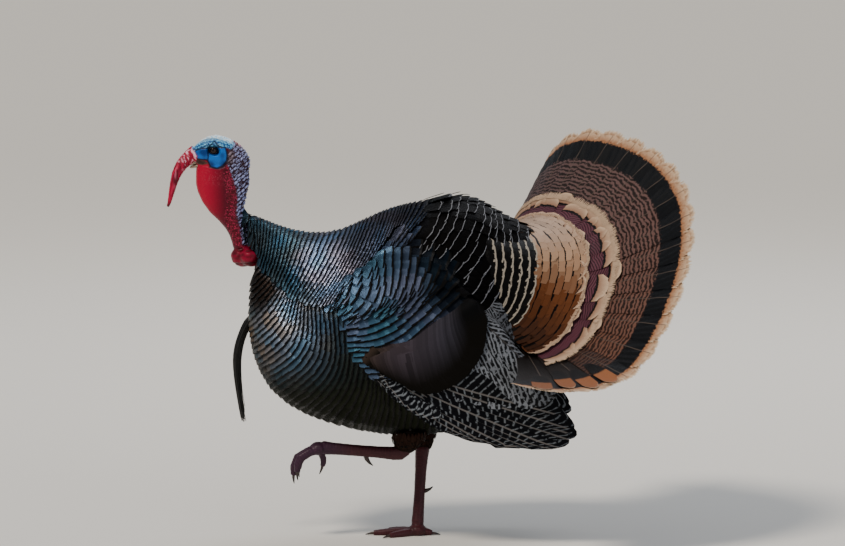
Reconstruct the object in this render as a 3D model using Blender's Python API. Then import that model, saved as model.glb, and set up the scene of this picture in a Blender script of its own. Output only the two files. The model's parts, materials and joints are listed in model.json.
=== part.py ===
"""Wild turkey: an adult gobbler walking in full strut, life size, in named pieces.

The bird faces -Y, its left side is +X and +Z is up. The origin is the middle of the sole
of the standing right foot, on the floor. Stations below are in millimetres.
"""

import math

import bmesh
import bpy
import numpy as np
from mathutils import Matrix, Vector

MM = 0.001
GAP = 0.0003  # clearance between touching pieces, metres

# Trunk: slanted ribs from the neck opening to the vent.
# Each is dorsal (y, z), ventral (y, z) and half width.
TRUNK_RIBS = (
    (-310, 585, -301, 510, 28),
    (-279, 575, -299, 464, 38),
    (-238, 559, -302, 423, 58),
    (-193, 550, -302, 374, 86),
    (-148, 552, -290, 317, 112),
    (-103, 569, -261, 265, 132),
    (-58, 590, -211, 228, 148),
    (-4, 605, -148, 204, 156),
    (50, 612, -76, 189, 157),
    (95, 612, -4, 184, 149),
    (137, 590, 68, 194, 134),
    (176, 569, 138, 227, 108),
    (207, 552, 200, 257, 84),
    (228, 520, 240, 300, 58),
)
TRUNK_RINGS = 22
TRUNK_SIDES = 24
TRUNK_SQUARENESS = 0.82  # below 1 the ribs are fuller than an ellipse

# Bare neck column: front (y, z), back (y, z) and half width, from under the head down.
NECK_RIBS = (
    (-396, 682, -301, 674, 22),
    (-397, 649, -301, 645, 20),
    (-396, 632, -302, 634, 19),
    (-388, 610, -308, 610, 18.5),
    (-372, 587, -312, 591, 18),
    (-352, 568, -312.5, 577, 17.5),
    (-340, 552, -311, 560, 17),
    (-334, 538, -308, 545, 16.5),
    (-330, 522, -304, 527, 16),
)
# Head: crown z, underside z and half width at each y, from the forehead to the nape.
HEAD_RIBS = (
    (-402, 700, 681, 7),
    (-398, 706, 675, 11),
    (-390, 714, 668, 15.5),
    (-378, 722, 666, 20),
    (-362, 726, 665, 23),
    (-346, 723, 664, 24.5),
    (-330, 716, 662, 24),
    (-316, 706, 661, 21.5),
    (-306, 694, 661, 17),
    (-301, 683, 662, 12),
)
EYE_CENTRE = (16.5, -364.5, 699.5)
EYE_RADIUS = 8.5

# Snood: centre (x, y, z), half depth and half width along the fleshy finger.
SNOOD_STATIONS = (
    (0, -396, 697, 13.5, 10),
    (2, -405, 690, 12.5, 10),
    (6, -418, 678, 11.5, 9.5),
    (10, -428, 664, 9.5, 8.5),
    (12, -434.5, 647, 7.5, 7),
    (13, -439.5, 627, 5.5, 5.5),
    (13, -444, 607, 3.6, 3.8),
    (13, -447, 598, 2.2, 2.4),
)

# Tail fan: root, plane and spread of the eighteen tail feathers.
FAN_ROOT = Vector((0.0, 0.144, 0.414))
FAN_UP = Vector((-0.070, 0.740, 0.668))
FAN_ACROSS = Vector((0.803, 0.439, -0.401))
FAN_LENGTH = 0.400
FAN_CROWN = 0.035  # how much longer the middle feathers are
FAN_START = -55.0  # degrees from FAN_UP toward the bird's right
FAN_END = 95.0  # degrees toward the bird's left
FEATHERS = 18
FEATHER_THICK = 0.0018
FEATHER_SHARE = 0.985  # of its share of the fan, so that neighbours stay clear
FEATHER_ROUNDING = 0.055  # how far a feather's corners fall short of its tip
FEATHER_CROWN = 0.004  # how far its middle stands above its edges
FEATHER_INNER = 0.30  # where a tail feather leaves the coverts, as a part of its length
COVERT_OUTER = 0.63  # reach of the longest upper tail coverts
UNDER_OUTER = 0.50

# Wing stations: y, top z, bottom z and half width of the bird over the wings.
WING_STATIONS = (
    (-160, 455, 434, 118),
    (-146, 484, 412, 131),
    (-118, 504, 352, 152),
    (-82, 520, 306, 164),
    (-31, 532, 252, 172),
    (23, 520, 218, 176),
    (68, 486, 205, 177),
    (120, 430, 188, 174),
    (176, 350, 180, 168),
    (221, 306, 177, 163),
    (262, 258, 179, 160),
    (290, 222, 196, 158),
)
WING_CROWN = 400  # z above which the wing leans in over the back
WING_LEAN = 205
WING_THICK_LOW = 13
WING_THICK_HIGH = 62

# Legs: centre (x, y, z), half depth and half width.
THIGH_RIGHT = (
    (-60, -22, 300, 56, 42),
    (-52, 0, 240, 40, 32),
    (-42, 4, 200, 29, 23),
    (-35, 8, 176, 22, 18),
    (-31, 10, 158, 15.5, 14.5),
    (-29, 10, 148, 13.5, 12.6),
)
SHANK_RIGHT = (
    (-31, 10, 166, 9.5, 9.5),
    (-28, 10, 150, 13, 12),
    (-25, 8, 134, 11, 9.8),
    (-18, 6, 95, 9.8, 8.6),
    (-9, 3, 48, 9.8, 8.6),
    (-4, 1.5, 27, 11, 10.5),
    (-1, 1, 13, 10, 10),
)
THIGH_LEFT = (
    (62, -10, 300, 56, 42),
    (58, -8, 235, 40, 32),
    (54, -14, 197, 28, 23),
    (51, -20, 174, 19, 16),
    (50.5, -24, 163, 14.5, 13.5),
)
SHANK_LEFT = (
    (51, -17, 174, 9.5, 9.5),
    (50.5, -24, 161, 12.5, 12),
    (50, -34, 156.5, 13, 11.5),
    (49, -52, 157, 11, 9.8),
    (46, -95, 160, 10, 8.6),
    (43, -145, 163.5, 10.5, 8.8),
    (42, -170, 165.5, 12.5, 10.5),
)
TOE_LENGTHS = {"middle": 78, "inner": 58, "outer": 61, "hind": 27}
TOE_SPREAD = {"middle": 0.0, "inner": 33.0, "outer": -33.0, "hind": 180.0}
TOE_RADIUS = 7
SOLE_RADIUS = 16.5
CLAW_LENGTH = 17


def new_collection(name: str) -> bpy.types.Collection:
    """Make a collection in the scene."""
    collection = bpy.data.collections.new(name)
    bpy.context.scene.collection.children.link(collection)
    return collection


def clear_scene() -> None:
    """Remove what the file already holds."""
    for old in list(bpy.data.objects):
        bpy.data.objects.remove(old, do_unlink=True)


def material(name: str, rgb: tuple, roughness: float, metallic: float = 0.0) -> bpy.types.Material:
    """Return a Principled material, made once for each name."""
    found = bpy.data.materials.get(name)
    if found:
        return found
    made = bpy.data.materials.new(name)
    made.use_nodes = True
    shader = made.node_tree.nodes["Principled BSDF"]
    shader.inputs["Base Color"].default_value = (*rgb, 1.0)
    shader.inputs["Roughness"].default_value = roughness
    shader.inputs["Metallic"].default_value = metallic
    made.diffuse_color = (*rgb, 1.0)
    return made


def smooth_rows(rows: tuple, count: int) -> np.ndarray:
    """Read a smooth curve through the rows at evenly spaced places."""
    knots = np.array(rows, dtype=float)
    padded = np.vstack([2 * knots[0] - knots[1], knots, 2 * knots[-1] - knots[-2]])
    places = np.linspace(0, len(knots) - 1, count)
    out = []
    for place in places:
        index = min(int(place), len(knots) - 2)
        t = place - index
        a, b, c, d = padded[index : index + 4]
        out.append(
            0.5 * (2 * b + (c - a) * t + (2 * a - 5 * b + 4 * c - d) * t**2
                   + (3 * b - a - 3 * c + d) * t**3)
        )
    return np.array(out)


def ring(centre: np.ndarray, tall: np.ndarray, wide: np.ndarray, sides: int,
         squareness: float = 1.0) -> np.ndarray:
    """Return a closed ring of points round a centre, an ellipse or a fuller oval."""
    angles = np.linspace(0, 2 * math.pi, sides, endpoint=False)
    up = np.sign(np.cos(angles)) * np.abs(np.cos(angles)) ** squareness
    side = np.sign(np.sin(angles)) * np.abs(np.sin(angles)) ** squareness
    return centre + np.outer(up, tall) + np.outer(side, wide)


def mesh_object(name: str, bm: bmesh.types.BMesh, look: bpy.types.Material,
                home: bpy.types.Collection) -> bpy.types.Object:
    """Turn a bmesh into an object with outward faces."""
    bmesh.ops.recalc_face_normals(bm, faces=bm.faces)
    mesh = bpy.data.meshes.new(name)
    bm.to_mesh(mesh)
    bm.free()
    mesh.materials.append(look)
    mesh.shade_smooth()
    mesh.set_sharp_from_angle(angle=math.radians(50))
    made = bpy.data.objects.new(name, mesh)
    home.objects.link(made)
    return made


def loft(name: str, rings: list, look: bpy.types.Material,
         home: bpy.types.Collection) -> bpy.types.Object:
    """Join rings of points into one closed body, with a point at the middle of each cap."""
    bm = bmesh.new()
    rows = [[bm.verts.new(point * MM) for point in points] for points in rings]
    count = len(rows[0])
    for low, high in zip(rows, rows[1:]):
        for k in range(count):
            bm.faces.new((low[k], low[(k + 1) % count], high[(k + 1) % count], high[k]))
    for row, points in ((rows[0], rings[0]), (rows[-1], rings[-1])):
        tip = bm.verts.new(np.mean(points, axis=0) * MM)
        for k in range(count):
            bm.faces.new((row[k], row[(k + 1) % count], tip))
    return mesh_object(name, bm, look, home)


def slab(name: str, under: np.ndarray, over: np.ndarray, look: bpy.types.Material,
         home: bpy.types.Collection) -> bpy.types.Object:
    """Close the space between two grids of points, in metres, into one body."""
    bm = bmesh.new()
    low = [[bm.verts.new(point) for point in row] for row in under]
    high = [[bm.verts.new(point) for point in row] for row in over]
    rows, columns = len(low), len(low[0])
    for grid in (low, high):
        for i in range(rows - 1):
            for j in range(columns - 1):
                bm.faces.new((grid[i][j], grid[i + 1][j], grid[i + 1][j + 1], grid[i][j + 1]))
    rim = [(i, 0) for i in range(rows)] + [(rows - 1, j) for j in range(1, columns)]
    rim += [(i, columns - 1) for i in range(rows - 2, -1, -1)]
    rim += [(0, j) for j in range(columns - 2, 0, -1)]
    for (i, j), (k, m) in zip(rim, rim[1:] + rim[:1]):
        bm.faces.new((low[i][j], low[k][m], high[k][m], high[i][j]))
    return mesh_object(name, bm, look, home)


def tube_rings(stations: tuple, count: int, sides: int, grow: float = 0.0,
               across: tuple = (1, 0, 0)) -> list:
    """Return rings along a limb: each row is centre x, y, z, half depth and half width."""
    rows = smooth_rows(stations, count)
    centres = rows[:, :3]
    along = np.gradient(centres, axis=0)
    out = []
    for centre, direction, (deep, wide) in zip(centres, along, rows[:, 3:5]):
        direction = direction / np.linalg.norm(direction)
        side = np.array(across, dtype=float)
        side -= direction * side.dot(direction)
        side /= np.linalg.norm(side)
        front = np.cross(direction, side)
        out.append(ring(centre, front * (deep + grow), side * (wide + grow), sides))
    if grow:
        first, last = along[0], along[-1]
        out[0] = out[0] - grow * first / np.linalg.norm(first)
        out[-1] = out[-1] + grow * last / np.linalg.norm(last)
    return out


def rib_rings(ribs: tuple, count: int, sides: int, squareness: float, grow: float = 0.0) -> list:
    """Return rings for slanted ribs: each row is dorsal y, z, ventral y, z and half width."""
    out = []
    for top_y, top_z, low_y, low_z, wide in smooth_rows(ribs, count):
        top = np.array((0, top_y, top_z))
        low = np.array((0, low_y, low_z))
        tall = (top - low) / 2
        tall *= 1 + grow / np.linalg.norm(tall)
        out.append(ring((top + low) / 2, tall, np.array((wide + grow, 0, 0)), sides, squareness))
    return out


def cut(target: bpy.types.Object, cutter: bpy.types.Object, operation: str = "DIFFERENCE") -> None:
    """Add an exact Boolean with a cutter to an object."""
    modifier = target.modifiers.new(f"{operation.lower()}_{cutter.name}", "BOOLEAN")
    modifier.operation = operation
    modifier.solver = "EXACT"
    modifier.object = cutter


def block(name: str, low: tuple, high: tuple, turn: Matrix, home: bpy.types.Collection,
          pivot: tuple = (0, 0, 0)) -> bpy.types.Object:
    """Make a box cutter from two corners in millimetres, turned about a pivot."""
    bm = bmesh.new()
    bmesh.ops.create_cube(bm, size=1.0)
    size = Vector(high) - Vector(low)
    middle = (Vector(high) + Vector(low)) / 2
    place = Matrix.Translation(Vector(pivot) * MM) @ turn
    place = place @ Matrix.Translation(middle * MM) @ Matrix.Diagonal((*(size * MM), 1))
    bmesh.ops.transform(bm, matrix=place, verts=bm.verts)
    return mesh_object(name, bm, material("cutter", (0.5, 0.5, 0.5), 0.5), home)


def half_spaces(name: str, point: tuple, normal: tuple, home: bpy.types.Collection) -> tuple:
    """Return two large boxes on the two sides of a plane, with the gap between them."""
    turn = Vector(normal).normalized().to_track_quat("Z", "Y").to_matrix().to_4x4()
    reach = 1500
    half = GAP / MM / 2
    ahead = block(f"{name}_ahead", (-reach, -reach, half), (reach, reach, reach), turn, home, point)
    behind = block(f"{name}_behind", (-reach, -reach, -reach), (reach, reach, -half), turn, home,
                   point)
    return ahead, behind


def ball(name: str, centre: tuple, radii: tuple, look: bpy.types.Material,
         home: bpy.types.Collection, segments: int = 14) -> bpy.types.Object:
    """Make an oval ball from a sphere."""
    bm = bmesh.new()
    bmesh.ops.create_uvsphere(bm, u_segments=segments, v_segments=segments // 2 + 1, radius=1.0)
    place = Matrix.Translation(Vector(centre) * MM) @ Matrix.Diagonal((*(Vector(radii) * MM), 1))
    bmesh.ops.transform(bm, matrix=place, verts=bm.verts)
    return mesh_object(name, bm, look, home)


def fan_axes() -> tuple:
    """Return the fan's unit axes: toward the middle feather's tip, across, and forward."""
    up = FAN_UP.normalized()
    across = (FAN_ACROSS - up * FAN_ACROSS.dot(up)).normalized()
    return np.array(up), np.array(across), np.array(across.cross(up))


def fan_curl(degrees: float) -> float:
    """Return how far a tail feather's tip bends forward, in metres, at an angle of the fan."""
    near = max(0.0, degrees - 70.0) / 22.0
    far = max(0.0, -degrees - 15.0) / 35.0
    return 0.100 * near**2 - 0.087 * far**3


def fan_point(degrees: float, reach: float, lift: float) -> np.ndarray:
    """Return a point on the fan: angle, part of the feather length, and height over it."""
    up, across, forward = fan_axes()
    turn = math.radians(degrees)
    ray = math.cos(turn) * up + math.sin(turn) * across
    bend = fan_curl(degrees) * reach**2
    length = FAN_LENGTH * (1 + FAN_CROWN * math.exp(-(((degrees - 14) / 26) ** 2)))
    return np.array(FAN_ROOT) + ray * reach * length + forward * (bend + lift)


def build_trunk(parts: bpy.types.Collection, cutters: bpy.types.Collection) -> bpy.types.Object:
    """Make the feathered neck, breast, back and rump, and return the cutter round them all."""
    feathers = {
        "neck_feathered": material("bronze_neck", (0.05, 0.06, 0.07), 0.45, 0.4),
        "breast": material("bronze_breast", (0.08, 0.07, 0.05), 0.42, 0.4),
        "back": material("dark_back", (0.02, 0.018, 0.017), 0.5, 0.2),
        "rump": material("dark_belly", (0.04, 0.03, 0.025), 0.55, 0.1),
    }
    neck_cut = half_spaces("neck_cut", (0, -232, 480), (0, -0.86, 0.51), cutters)
    back_cut = half_spaces("back_cut", (0, 40, 470), (0, 0.10, 0.99), cutters)
    rump_cut = half_spaces("rump_cut", (0, 20, 300), (0, 0.98, 0.20), cutters)
    sides = {
        "neck_feathered": (neck_cut[0],),
        "back": (neck_cut[1], back_cut[0]),
        "breast": (neck_cut[1], back_cut[1], rump_cut[1]),
        "rump": (neck_cut[1], back_cut[1], rump_cut[0]),
    }
    rings = rib_rings(TRUNK_RIBS, TRUNK_RINGS, TRUNK_SIDES, TRUNK_SQUARENESS)
    for name, keep in sides.items():
        piece = loft(name, rings, feathers[name], parts)
        for cutter in keep:
            cut(piece, cutter, "INTERSECT")
    grown = rib_rings(TRUNK_RIBS, TRUNK_RINGS, TRUNK_SIDES, TRUNK_SQUARENESS, GAP / MM * 2.4)
    grown[0] = grown[0] + np.array((0, -0.5, 0.1))
    grown[-1] = grown[-1] + np.array((0, 1.2, 0))
    return loft("trunk_cutter", grown, material("cutter", (0.5, 0.5, 0.5), 0.5), cutters)


def build_head(parts: bpy.types.Collection, cutters: bpy.types.Collection,
               trunk_room: bpy.types.Object) -> None:
    """Make the head, eyes, bill, snood, bare neck, throat and caruncles."""
    blue = material("head_skin", (0.35, 0.5, 0.6), 0.5)
    red = material("red_skin", (0.45, 0.02, 0.03), 0.4)
    grey = material("grey_skin", (0.35, 0.3, 0.4), 0.55)
    horn = material("bill_horn", (0.35, 0.27, 0.2), 0.4)
    iris = material("eye", (0.03, 0.015, 0.01), 0.05)
    trim = material("cutter", (0.5, 0.5, 0.5), 0.5)

    head_rings = []
    for y, top, low, wide in smooth_rows(HEAD_RIBS, 12):
        centre = np.array((0, y, (top + low) / 2))
        tall = np.array((0, 0, (top - low) / 2))
        head_rings.append(ring(centre, tall, np.array((wide, 0, 0)), 16, 0.85))
    head = loft("head", head_rings, blue, parts)
    above, below = half_spaces("head_cut", (0, -350, 668), (0, 0.07, 1), cutters)
    cut(head, above, "INTERSECT")

    for side, sign in (("left", 1), ("right", -1)):
        place = (sign * EYE_CENTRE[0], EYE_CENTRE[1], EYE_CENTRE[2])
        ball(f"eye_{side}", place, (EYE_RADIUS,) * 3, iris, parts, 10)
        grown = EYE_RADIUS + GAP / MM + 0.2
        cut(head, ball(f"eye_{side}_cutter", place, (grown,) * 3, trim, cutters, 10))

    snood = loft("snood", tube_rings(SNOOD_STATIONS, 9, 8), red, parts)
    snood_room = loft("snood_cutter", tube_rings(SNOOD_STATIONS, 9, 8, 0.35), trim, cutters)
    cut(head, snood_room)

    upper = ((0, -384, 683, 7, 9.5), (0, -396, 680, 6.5, 8), (0, -408, 676, 5, 5.5),
             (0, -414, 671.5, 2.6, 2.8))
    lower = ((0, -380, 672.5, 3.2, 9), (0, -394, 671, 3.4, 7), (0, -404, 668.6, 2.6, 4.2),
             (0, -408, 667.6, 1.4, 2))
    bill_upper = loft("bill_upper", tube_rings(upper, 5, 8), horn, parts)
    bill_lower = loft("bill_lower", tube_rings(lower, 5, 8), horn, parts)
    upper_room = loft("bill_upper_cutter", tube_rings(upper, 5, 8, 0.35), trim, cutters)
    lower_room = loft("bill_lower_cutter", tube_rings(lower, 5, 8, 0.35), trim, cutters)
    cut(bill_upper, snood_room)
    cut(bill_lower, upper_room)
    cut(bill_lower, snood_room)
    cut(head, upper_room)
    cut(head, lower_room)

    column = rib_rings(NECK_RIBS, 11, 16, 0.95)
    throat_side, nape_side = half_spaces("throat_cut", (0, -330, 600), (0, -0.965, -0.262), cutters)
    room = loft("caruncle_cutter", [p for p in caruncle_rings(0.4)], trim, cutters)
    for name, look, side in (("throat", red, throat_side), ("neck_bare", grey, nape_side)):
        piece = loft(name, column, look, parts)
        cut(piece, below, "INTERSECT")
        cut(piece, side, "INTERSECT")
        cut(piece, room)
        cut(piece, trunk_room)
        cut(piece, lower_room)
        cut(piece, snood_room)
    left, right = half_spaces("caruncle_split", (0, 0, 0), (1, 0, 0), cutters)
    for name, side in (("caruncles_left", left), ("caruncles_right", right)):
        lobe = loft(name, caruncle_rings(0.0), red, parts)
        cut(lobe, side, "INTERSECT")
        cut(lobe, trunk_room)


def caruncle_rings(grow: float) -> list:
    """Return the rings of the red ball of caruncles at the front of the neck."""
    centre, half_long, half_tall, half_wide = np.array((0, -312, 507)), 22, 18.5, 24
    out = []
    for turn in np.linspace(0.16, math.pi - 0.16, 8):
        slide = np.array((0, -math.cos(turn) * (half_long + grow), 0))
        size = math.sin(turn) ** 0.8
        tall = np.array((0, 0, size * half_tall + grow))
        out.append(ring(centre + slide, tall, np.array((size * half_wide + grow, 0, 0)), 14))
    return out


def build_beard(parts: bpy.types.Collection, trunk_room: bpy.types.Object) -> None:
    """Make the beard, a lock of bristles hanging from the breast."""
    stations = ((0, -290, 392, 8, 7), (0, -308, 388, 8, 7), (0, -317, 350, 8, 7),
                (0, -322, 302, 7.5, 6.5), (0, -318, 250, 7, 6), (0, -312, 206, 4, 3.5))
    beard = loft("beard", tube_rings(stations, 9, 8), material("beard", (0.01, 0.01, 0.01), 0.6),
                 parts)
    cut(beard, trunk_room)


def wing_rings(sign: int, grow: float = 0.0) -> list:
    """Return the cross sections of one drooped wing, from its bend to its tip."""
    out = []
    for y, top, low, wide in smooth_rows(WING_STATIONS, 16):
        heights = low + (top - low) * (1 - np.cos(np.linspace(0, math.pi, 9))) / 2
        lean = np.clip((heights - WING_CROWN) / WING_LEAN, 0, 0.98)
        outer = wide * np.sqrt(1 - lean**2.2)
        share = np.clip((heights - 285) / 60, 0, 1)
        thick = WING_THICK_LOW + (WING_THICK_HIGH - WING_THICK_LOW) * share
        edge = np.sin(np.linspace(0, math.pi, 9)) ** 0.5
        thick = 4 + (thick - 4) * edge
        front = [(sign * (x + grow), y, z) for x, z in zip(outer, heights)]
        back = [(sign * (x - t - grow), y, z) for x, t, z in zip(outer, thick, heights)]
        out.append(np.array(front + back[::-1]))
    return out


def build_wings(parts: bpy.types.Collection, cutters: bpy.types.Collection,
                trunk_room: bpy.types.Object) -> None:
    """Make each wing's coverts, secondaries and primaries."""
    looks = {
        "coverts": material("wing_coverts", (0.06, 0.07, 0.075), 0.4, 0.4),
        "secondaries": material("wing_secondaries", (0.3, 0.28, 0.26), 0.6),
        "primaries": material("wing_primaries", (0.12, 0.12, 0.13), 0.6),
    }
    above, below = half_spaces("primary_cut", (0, 40, 275), (0, 0.12, 0.993), cutters)
    rear, front = half_spaces("secondary_cut", (0, 92, 330), (0, 0.94, -0.34), cutters)
    keep = {"coverts": (above, front), "secondaries": (above, rear), "primaries": (below,)}
    for side, sign in (("left", 1), ("right", -1)):
        for name, cutter_list in keep.items():
            piece = loft(f"wing_{side}_{name}", wing_rings(sign), looks[name], parts)
            cut(piece, trunk_room)
            for cutter in cutter_list:
                cut(piece, cutter, "INTERSECT")


def build_fan(parts: bpy.types.Collection, trunk_room: bpy.types.Object) -> None:
    """Make the eighteen tail feathers, side by side across the fan."""
    look = material("tail_feather", (0.2, 0.12, 0.07), 0.55)
    step = (FAN_END - FAN_START) / (FEATHERS - 1)
    for number in range(FEATHERS):
        middle = FAN_START + number * step
        low, high = [], []
        for reach in (FEATHER_INNER, 0.58, 0.84, 1.0):
            under, over = [], []
            for across in np.linspace(-1, 1, 5):
                angle = middle + across * FEATHER_SHARE * step / 2
                end = 1 - FEATHER_ROUNDING * abs(across) ** 2.5
                part = np.interp(reach, (FEATHER_INNER, 1), (FEATHER_INNER, end))
                crown = FEATHER_CROWN * (1 - across**2) * reach
                under.append(fan_point(angle, part, crown - FEATHER_THICK / 2))
                over.append(fan_point(angle, part, crown + FEATHER_THICK / 2))
            low.append(under)
            high.append(over)
        name = f"tail_feather_{number + 1:02d}"
        cut(slab(name, np.array(low), np.array(high), look, parts), trunk_room)


def build_tail_coverts(parts: bpy.types.Collection, trunk_room: bpy.types.Object) -> None:
    """Make the upper and under tail coverts, which hold the feathers' roots."""
    looks = (material("upper_coverts", (0.25, 0.13, 0.07), 0.55),
             material("under_coverts", (0.1, 0.05, 0.03), 0.6))
    over, below = 0.0062, -0.0016  # where each side starts, clear of the feathers
    plans = (("tail_coverts_upper", COVERT_OUTER, over, 1, FAN_START, FAN_END - 3),
             ("tail_coverts_under", UNDER_OUTER, below, -1, FAN_START + 17, FAN_END - 10))
    for (name, outer, start, sign, first, last), look in zip(plans, looks):
        near, far = [], []
        for degrees in np.linspace(first, last, 18):
            narrow = 1 - 0.10 * abs((degrees - 20) / 78) ** 3
            lean = math.cos(math.radians(degrees)) * sign
            hump = 0.052 + 0.034 * lean
            row_near, row_far = [], []
            for share in np.linspace(0.10, 1.0, 7):
                reach = share * outer * narrow
                slope = (1 - share) / 0.55
                height = 0.0022 + hump * min(slope, 1.35) ** 2
                row_near.append(fan_point(degrees, reach, start))
                row_far.append(fan_point(degrees, reach, start + sign * height))
            near.append(row_near)
            far.append(row_far)
        piece = slab(name, np.array(near), np.array(far), look, parts)
        cut(piece, trunk_room)


def toe_stations(heading: float, length: float, lift: float) -> tuple:
    """Return the stations of a toe on the floor, from the ball of the foot to the claw."""
    turn = math.radians(heading)
    ahead = np.array((math.sin(turn), -math.cos(turn)))
    rows = []
    for share, rise, girth in ((0.0, 8, 1.05), (0.25, 6.2, 1.0), (0.5, 5.6, 1.08),
                               (0.75, 4.9, 0.92), (1.0, 3.9, 0.7)):
        x, y = ahead * share * length
        rows.append((x, y, rise + lift * (1 - share), TOE_RADIUS * girth, TOE_RADIUS * girth))
    return tuple(rows)


def claw_stations(start: np.ndarray, ahead: np.ndarray, fall: np.ndarray) -> tuple:
    """Return the stations of a curved claw beyond a toe's end."""
    rows = []
    for share, girth in ((0.0, 3.1), (0.4, 2.5), (0.75, 1.6), (1.0, 0.7)):
        point = start + ahead * CLAW_LENGTH * share + fall * CLAW_LENGTH * 0.3 * share**2
        rows.append((*point, girth, girth * 0.8))
    return tuple(rows)


def build_leg(side: str, thigh: tuple, shank: tuple, toes: dict, foot_centre: tuple, spur: tuple,
              parts: bpy.types.Collection, cutters: bpy.types.Collection,
              trunk_room: bpy.types.Object) -> None:
    """Make one leg: feathered thigh, scaled shank, spur, foot and claws.

    toes maps a toe's name to its stations, and to the way its claw points and curls.
    """
    skin = material("leg_skin", (0.16, 0.05, 0.06), 0.5)
    horn = material("claw_horn", (0.06, 0.04, 0.035), 0.4)
    trim = material("cutter", (0.5, 0.5, 0.5), 0.5)
    drumstick = loft(f"thigh_{side}", tube_rings(thigh, 6, 12),
                     material("thigh_feathers", (0.05, 0.035, 0.03), 0.6), parts)
    cut(drumstick, trunk_room)
    loft(f"shank_{side}", tube_rings(shank, 8, 10), skin, parts)
    shank_room = loft(f"shank_{side}_cutter", tube_rings(shank, 8, 10, 0.4), trim, cutters)
    cut(drumstick, shank_room)
    cut(loft(f"spur_{side}", tube_rings(spur, 4, 6), horn, parts), shank_room)

    foot = ball(f"foot_{side}", foot_centre, (SOLE_RADIUS, SOLE_RADIUS, 12), skin, parts, 10)
    for name, (stations, ahead, fall) in toes.items():
        toe = loft(f"toe_{side}_{name}", tube_rings(stations, 5, 7), trim, cutters)
        cut(foot, toe, "UNION")
        claw_start = np.array(stations[-1][:3])
        rows = claw_stations(claw_start - ahead * 1.5, ahead, fall)
        loft(f"claw_{side}_{name}", tube_rings(rows, 4, 5), horn, parts)
        room = loft(f"claw_{side}_{name}_cutter", tube_rings(rows, 4, 5, 0.35), trim, cutters)
        cut(foot, room)
    cut(foot, shank_room)
    if side == "right":
        floor = block("floor_cutter", (-400, -400, 0), (400, 400, 200), Matrix.Identity(4), cutters)
        cut(foot, floor, "INTERSECT")


def build_legs(parts: bpy.types.Collection, cutters: bpy.types.Collection,
               trunk_room: bpy.types.Object) -> None:
    """Make the standing right leg and the lifted left one."""
    standing = {}
    for name, length in TOE_LENGTHS.items():
        heading = TOE_SPREAD[name]
        ahead = np.array((math.sin(math.radians(heading)), -math.cos(math.radians(heading)), 0.0))
        stations = toe_stations(heading, length, 3.0 if name == "hind" else 0.0)
        standing[name] = (stations, ahead, np.array((0, 0, -0.55)))
    spur_right = ((-17.5, 8, 78, 5.2, 4.6), (-16, 16, 79, 4.2, 3.8), (-14, 23, 82, 2.6, 2.4),
                  (-13, 29, 87, 0.9, 0.9))
    build_leg("right", THIGH_RIGHT, SHANK_RIGHT, standing, (0, 1, 9), spur_right, parts, cutters,
              trunk_room)

    lifted = {}
    hang = {"middle": (0, 1.0), "inner": (-9, 0.80), "outer": (10, 0.84)}
    for name, (spread, size) in hang.items():
        rows = []
        for along, down, girth in ((0, 0, 1.2), (18, 5, 1.15), (36, 16, 1.2), (43, 32, 1.0),
                                   (44, 47, 0.75)):
            share = along / 44
            rows.append((42 + spread * (0.5 + share), -178 - along * size, 163 - down * size,
                         TOE_RADIUS * girth, TOE_RADIUS * girth))
        ahead = np.array((0.0, -0.1, -1.0))
        lifted[name] = (tuple(rows), ahead / np.linalg.norm(ahead), np.array((0, 0.55, 0)))
    hind = ((38, -176, 160, 6.5, 6.5), (35, -170, 150, 6, 6), (33, -168, 140, 5.2, 5.2),
            (32, -170, 131, 4.4, 4.4))
    lifted["hind"] = (hind, np.array((0.0, -0.2, -0.98)), np.array((0, -0.55, 0)))
    spur_left = ((46, -92, 153, 5.2, 4.6), (44.5, -90, 145, 4.2, 3.8), (43, -85, 138, 2.6, 2.4),
                 (42, -79, 133, 0.9, 0.9))
    build_leg("left", THIGH_LEFT, SHANK_LEFT, lifted, (42, -177, 164), spur_left, parts, cutters,
              trunk_room)


def main() -> None:
    """Build the whole bird."""
    clear_scene()
    parts = new_collection("wild_turkey")
    cutters = new_collection("cutters")
    trunk_room = build_trunk(parts, cutters)
    build_head(parts, cutters, trunk_room)
    build_beard(parts, trunk_room)
    build_wings(parts, cutters, trunk_room)
    build_tail_coverts(parts, trunk_room)
    build_fan(parts, trunk_room)
    build_legs(parts, cutters, trunk_room)
    for cutter in cutters.objects:
        cutter.hide_render = True
        cutter.display_type = "WIRE"


main()
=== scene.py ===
"""Looks of the strutting wild turkey: skin, plumage, horn and eyes over its solid frame."""

import json
import logging
import math
from dataclasses import dataclass, field, replace
from enum import Enum

import bmesh
import bpy
import numpy as np
from bmesh.types import BMesh
from bpy.types import Material, Mesh, Node, NodeSocket, NodeTree, Object
from mathutils import Matrix, Vector, noise
from mathutils.bvhtree import BVHTree
from numpy import ndarray as Array
from numpy.random import Generator

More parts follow.
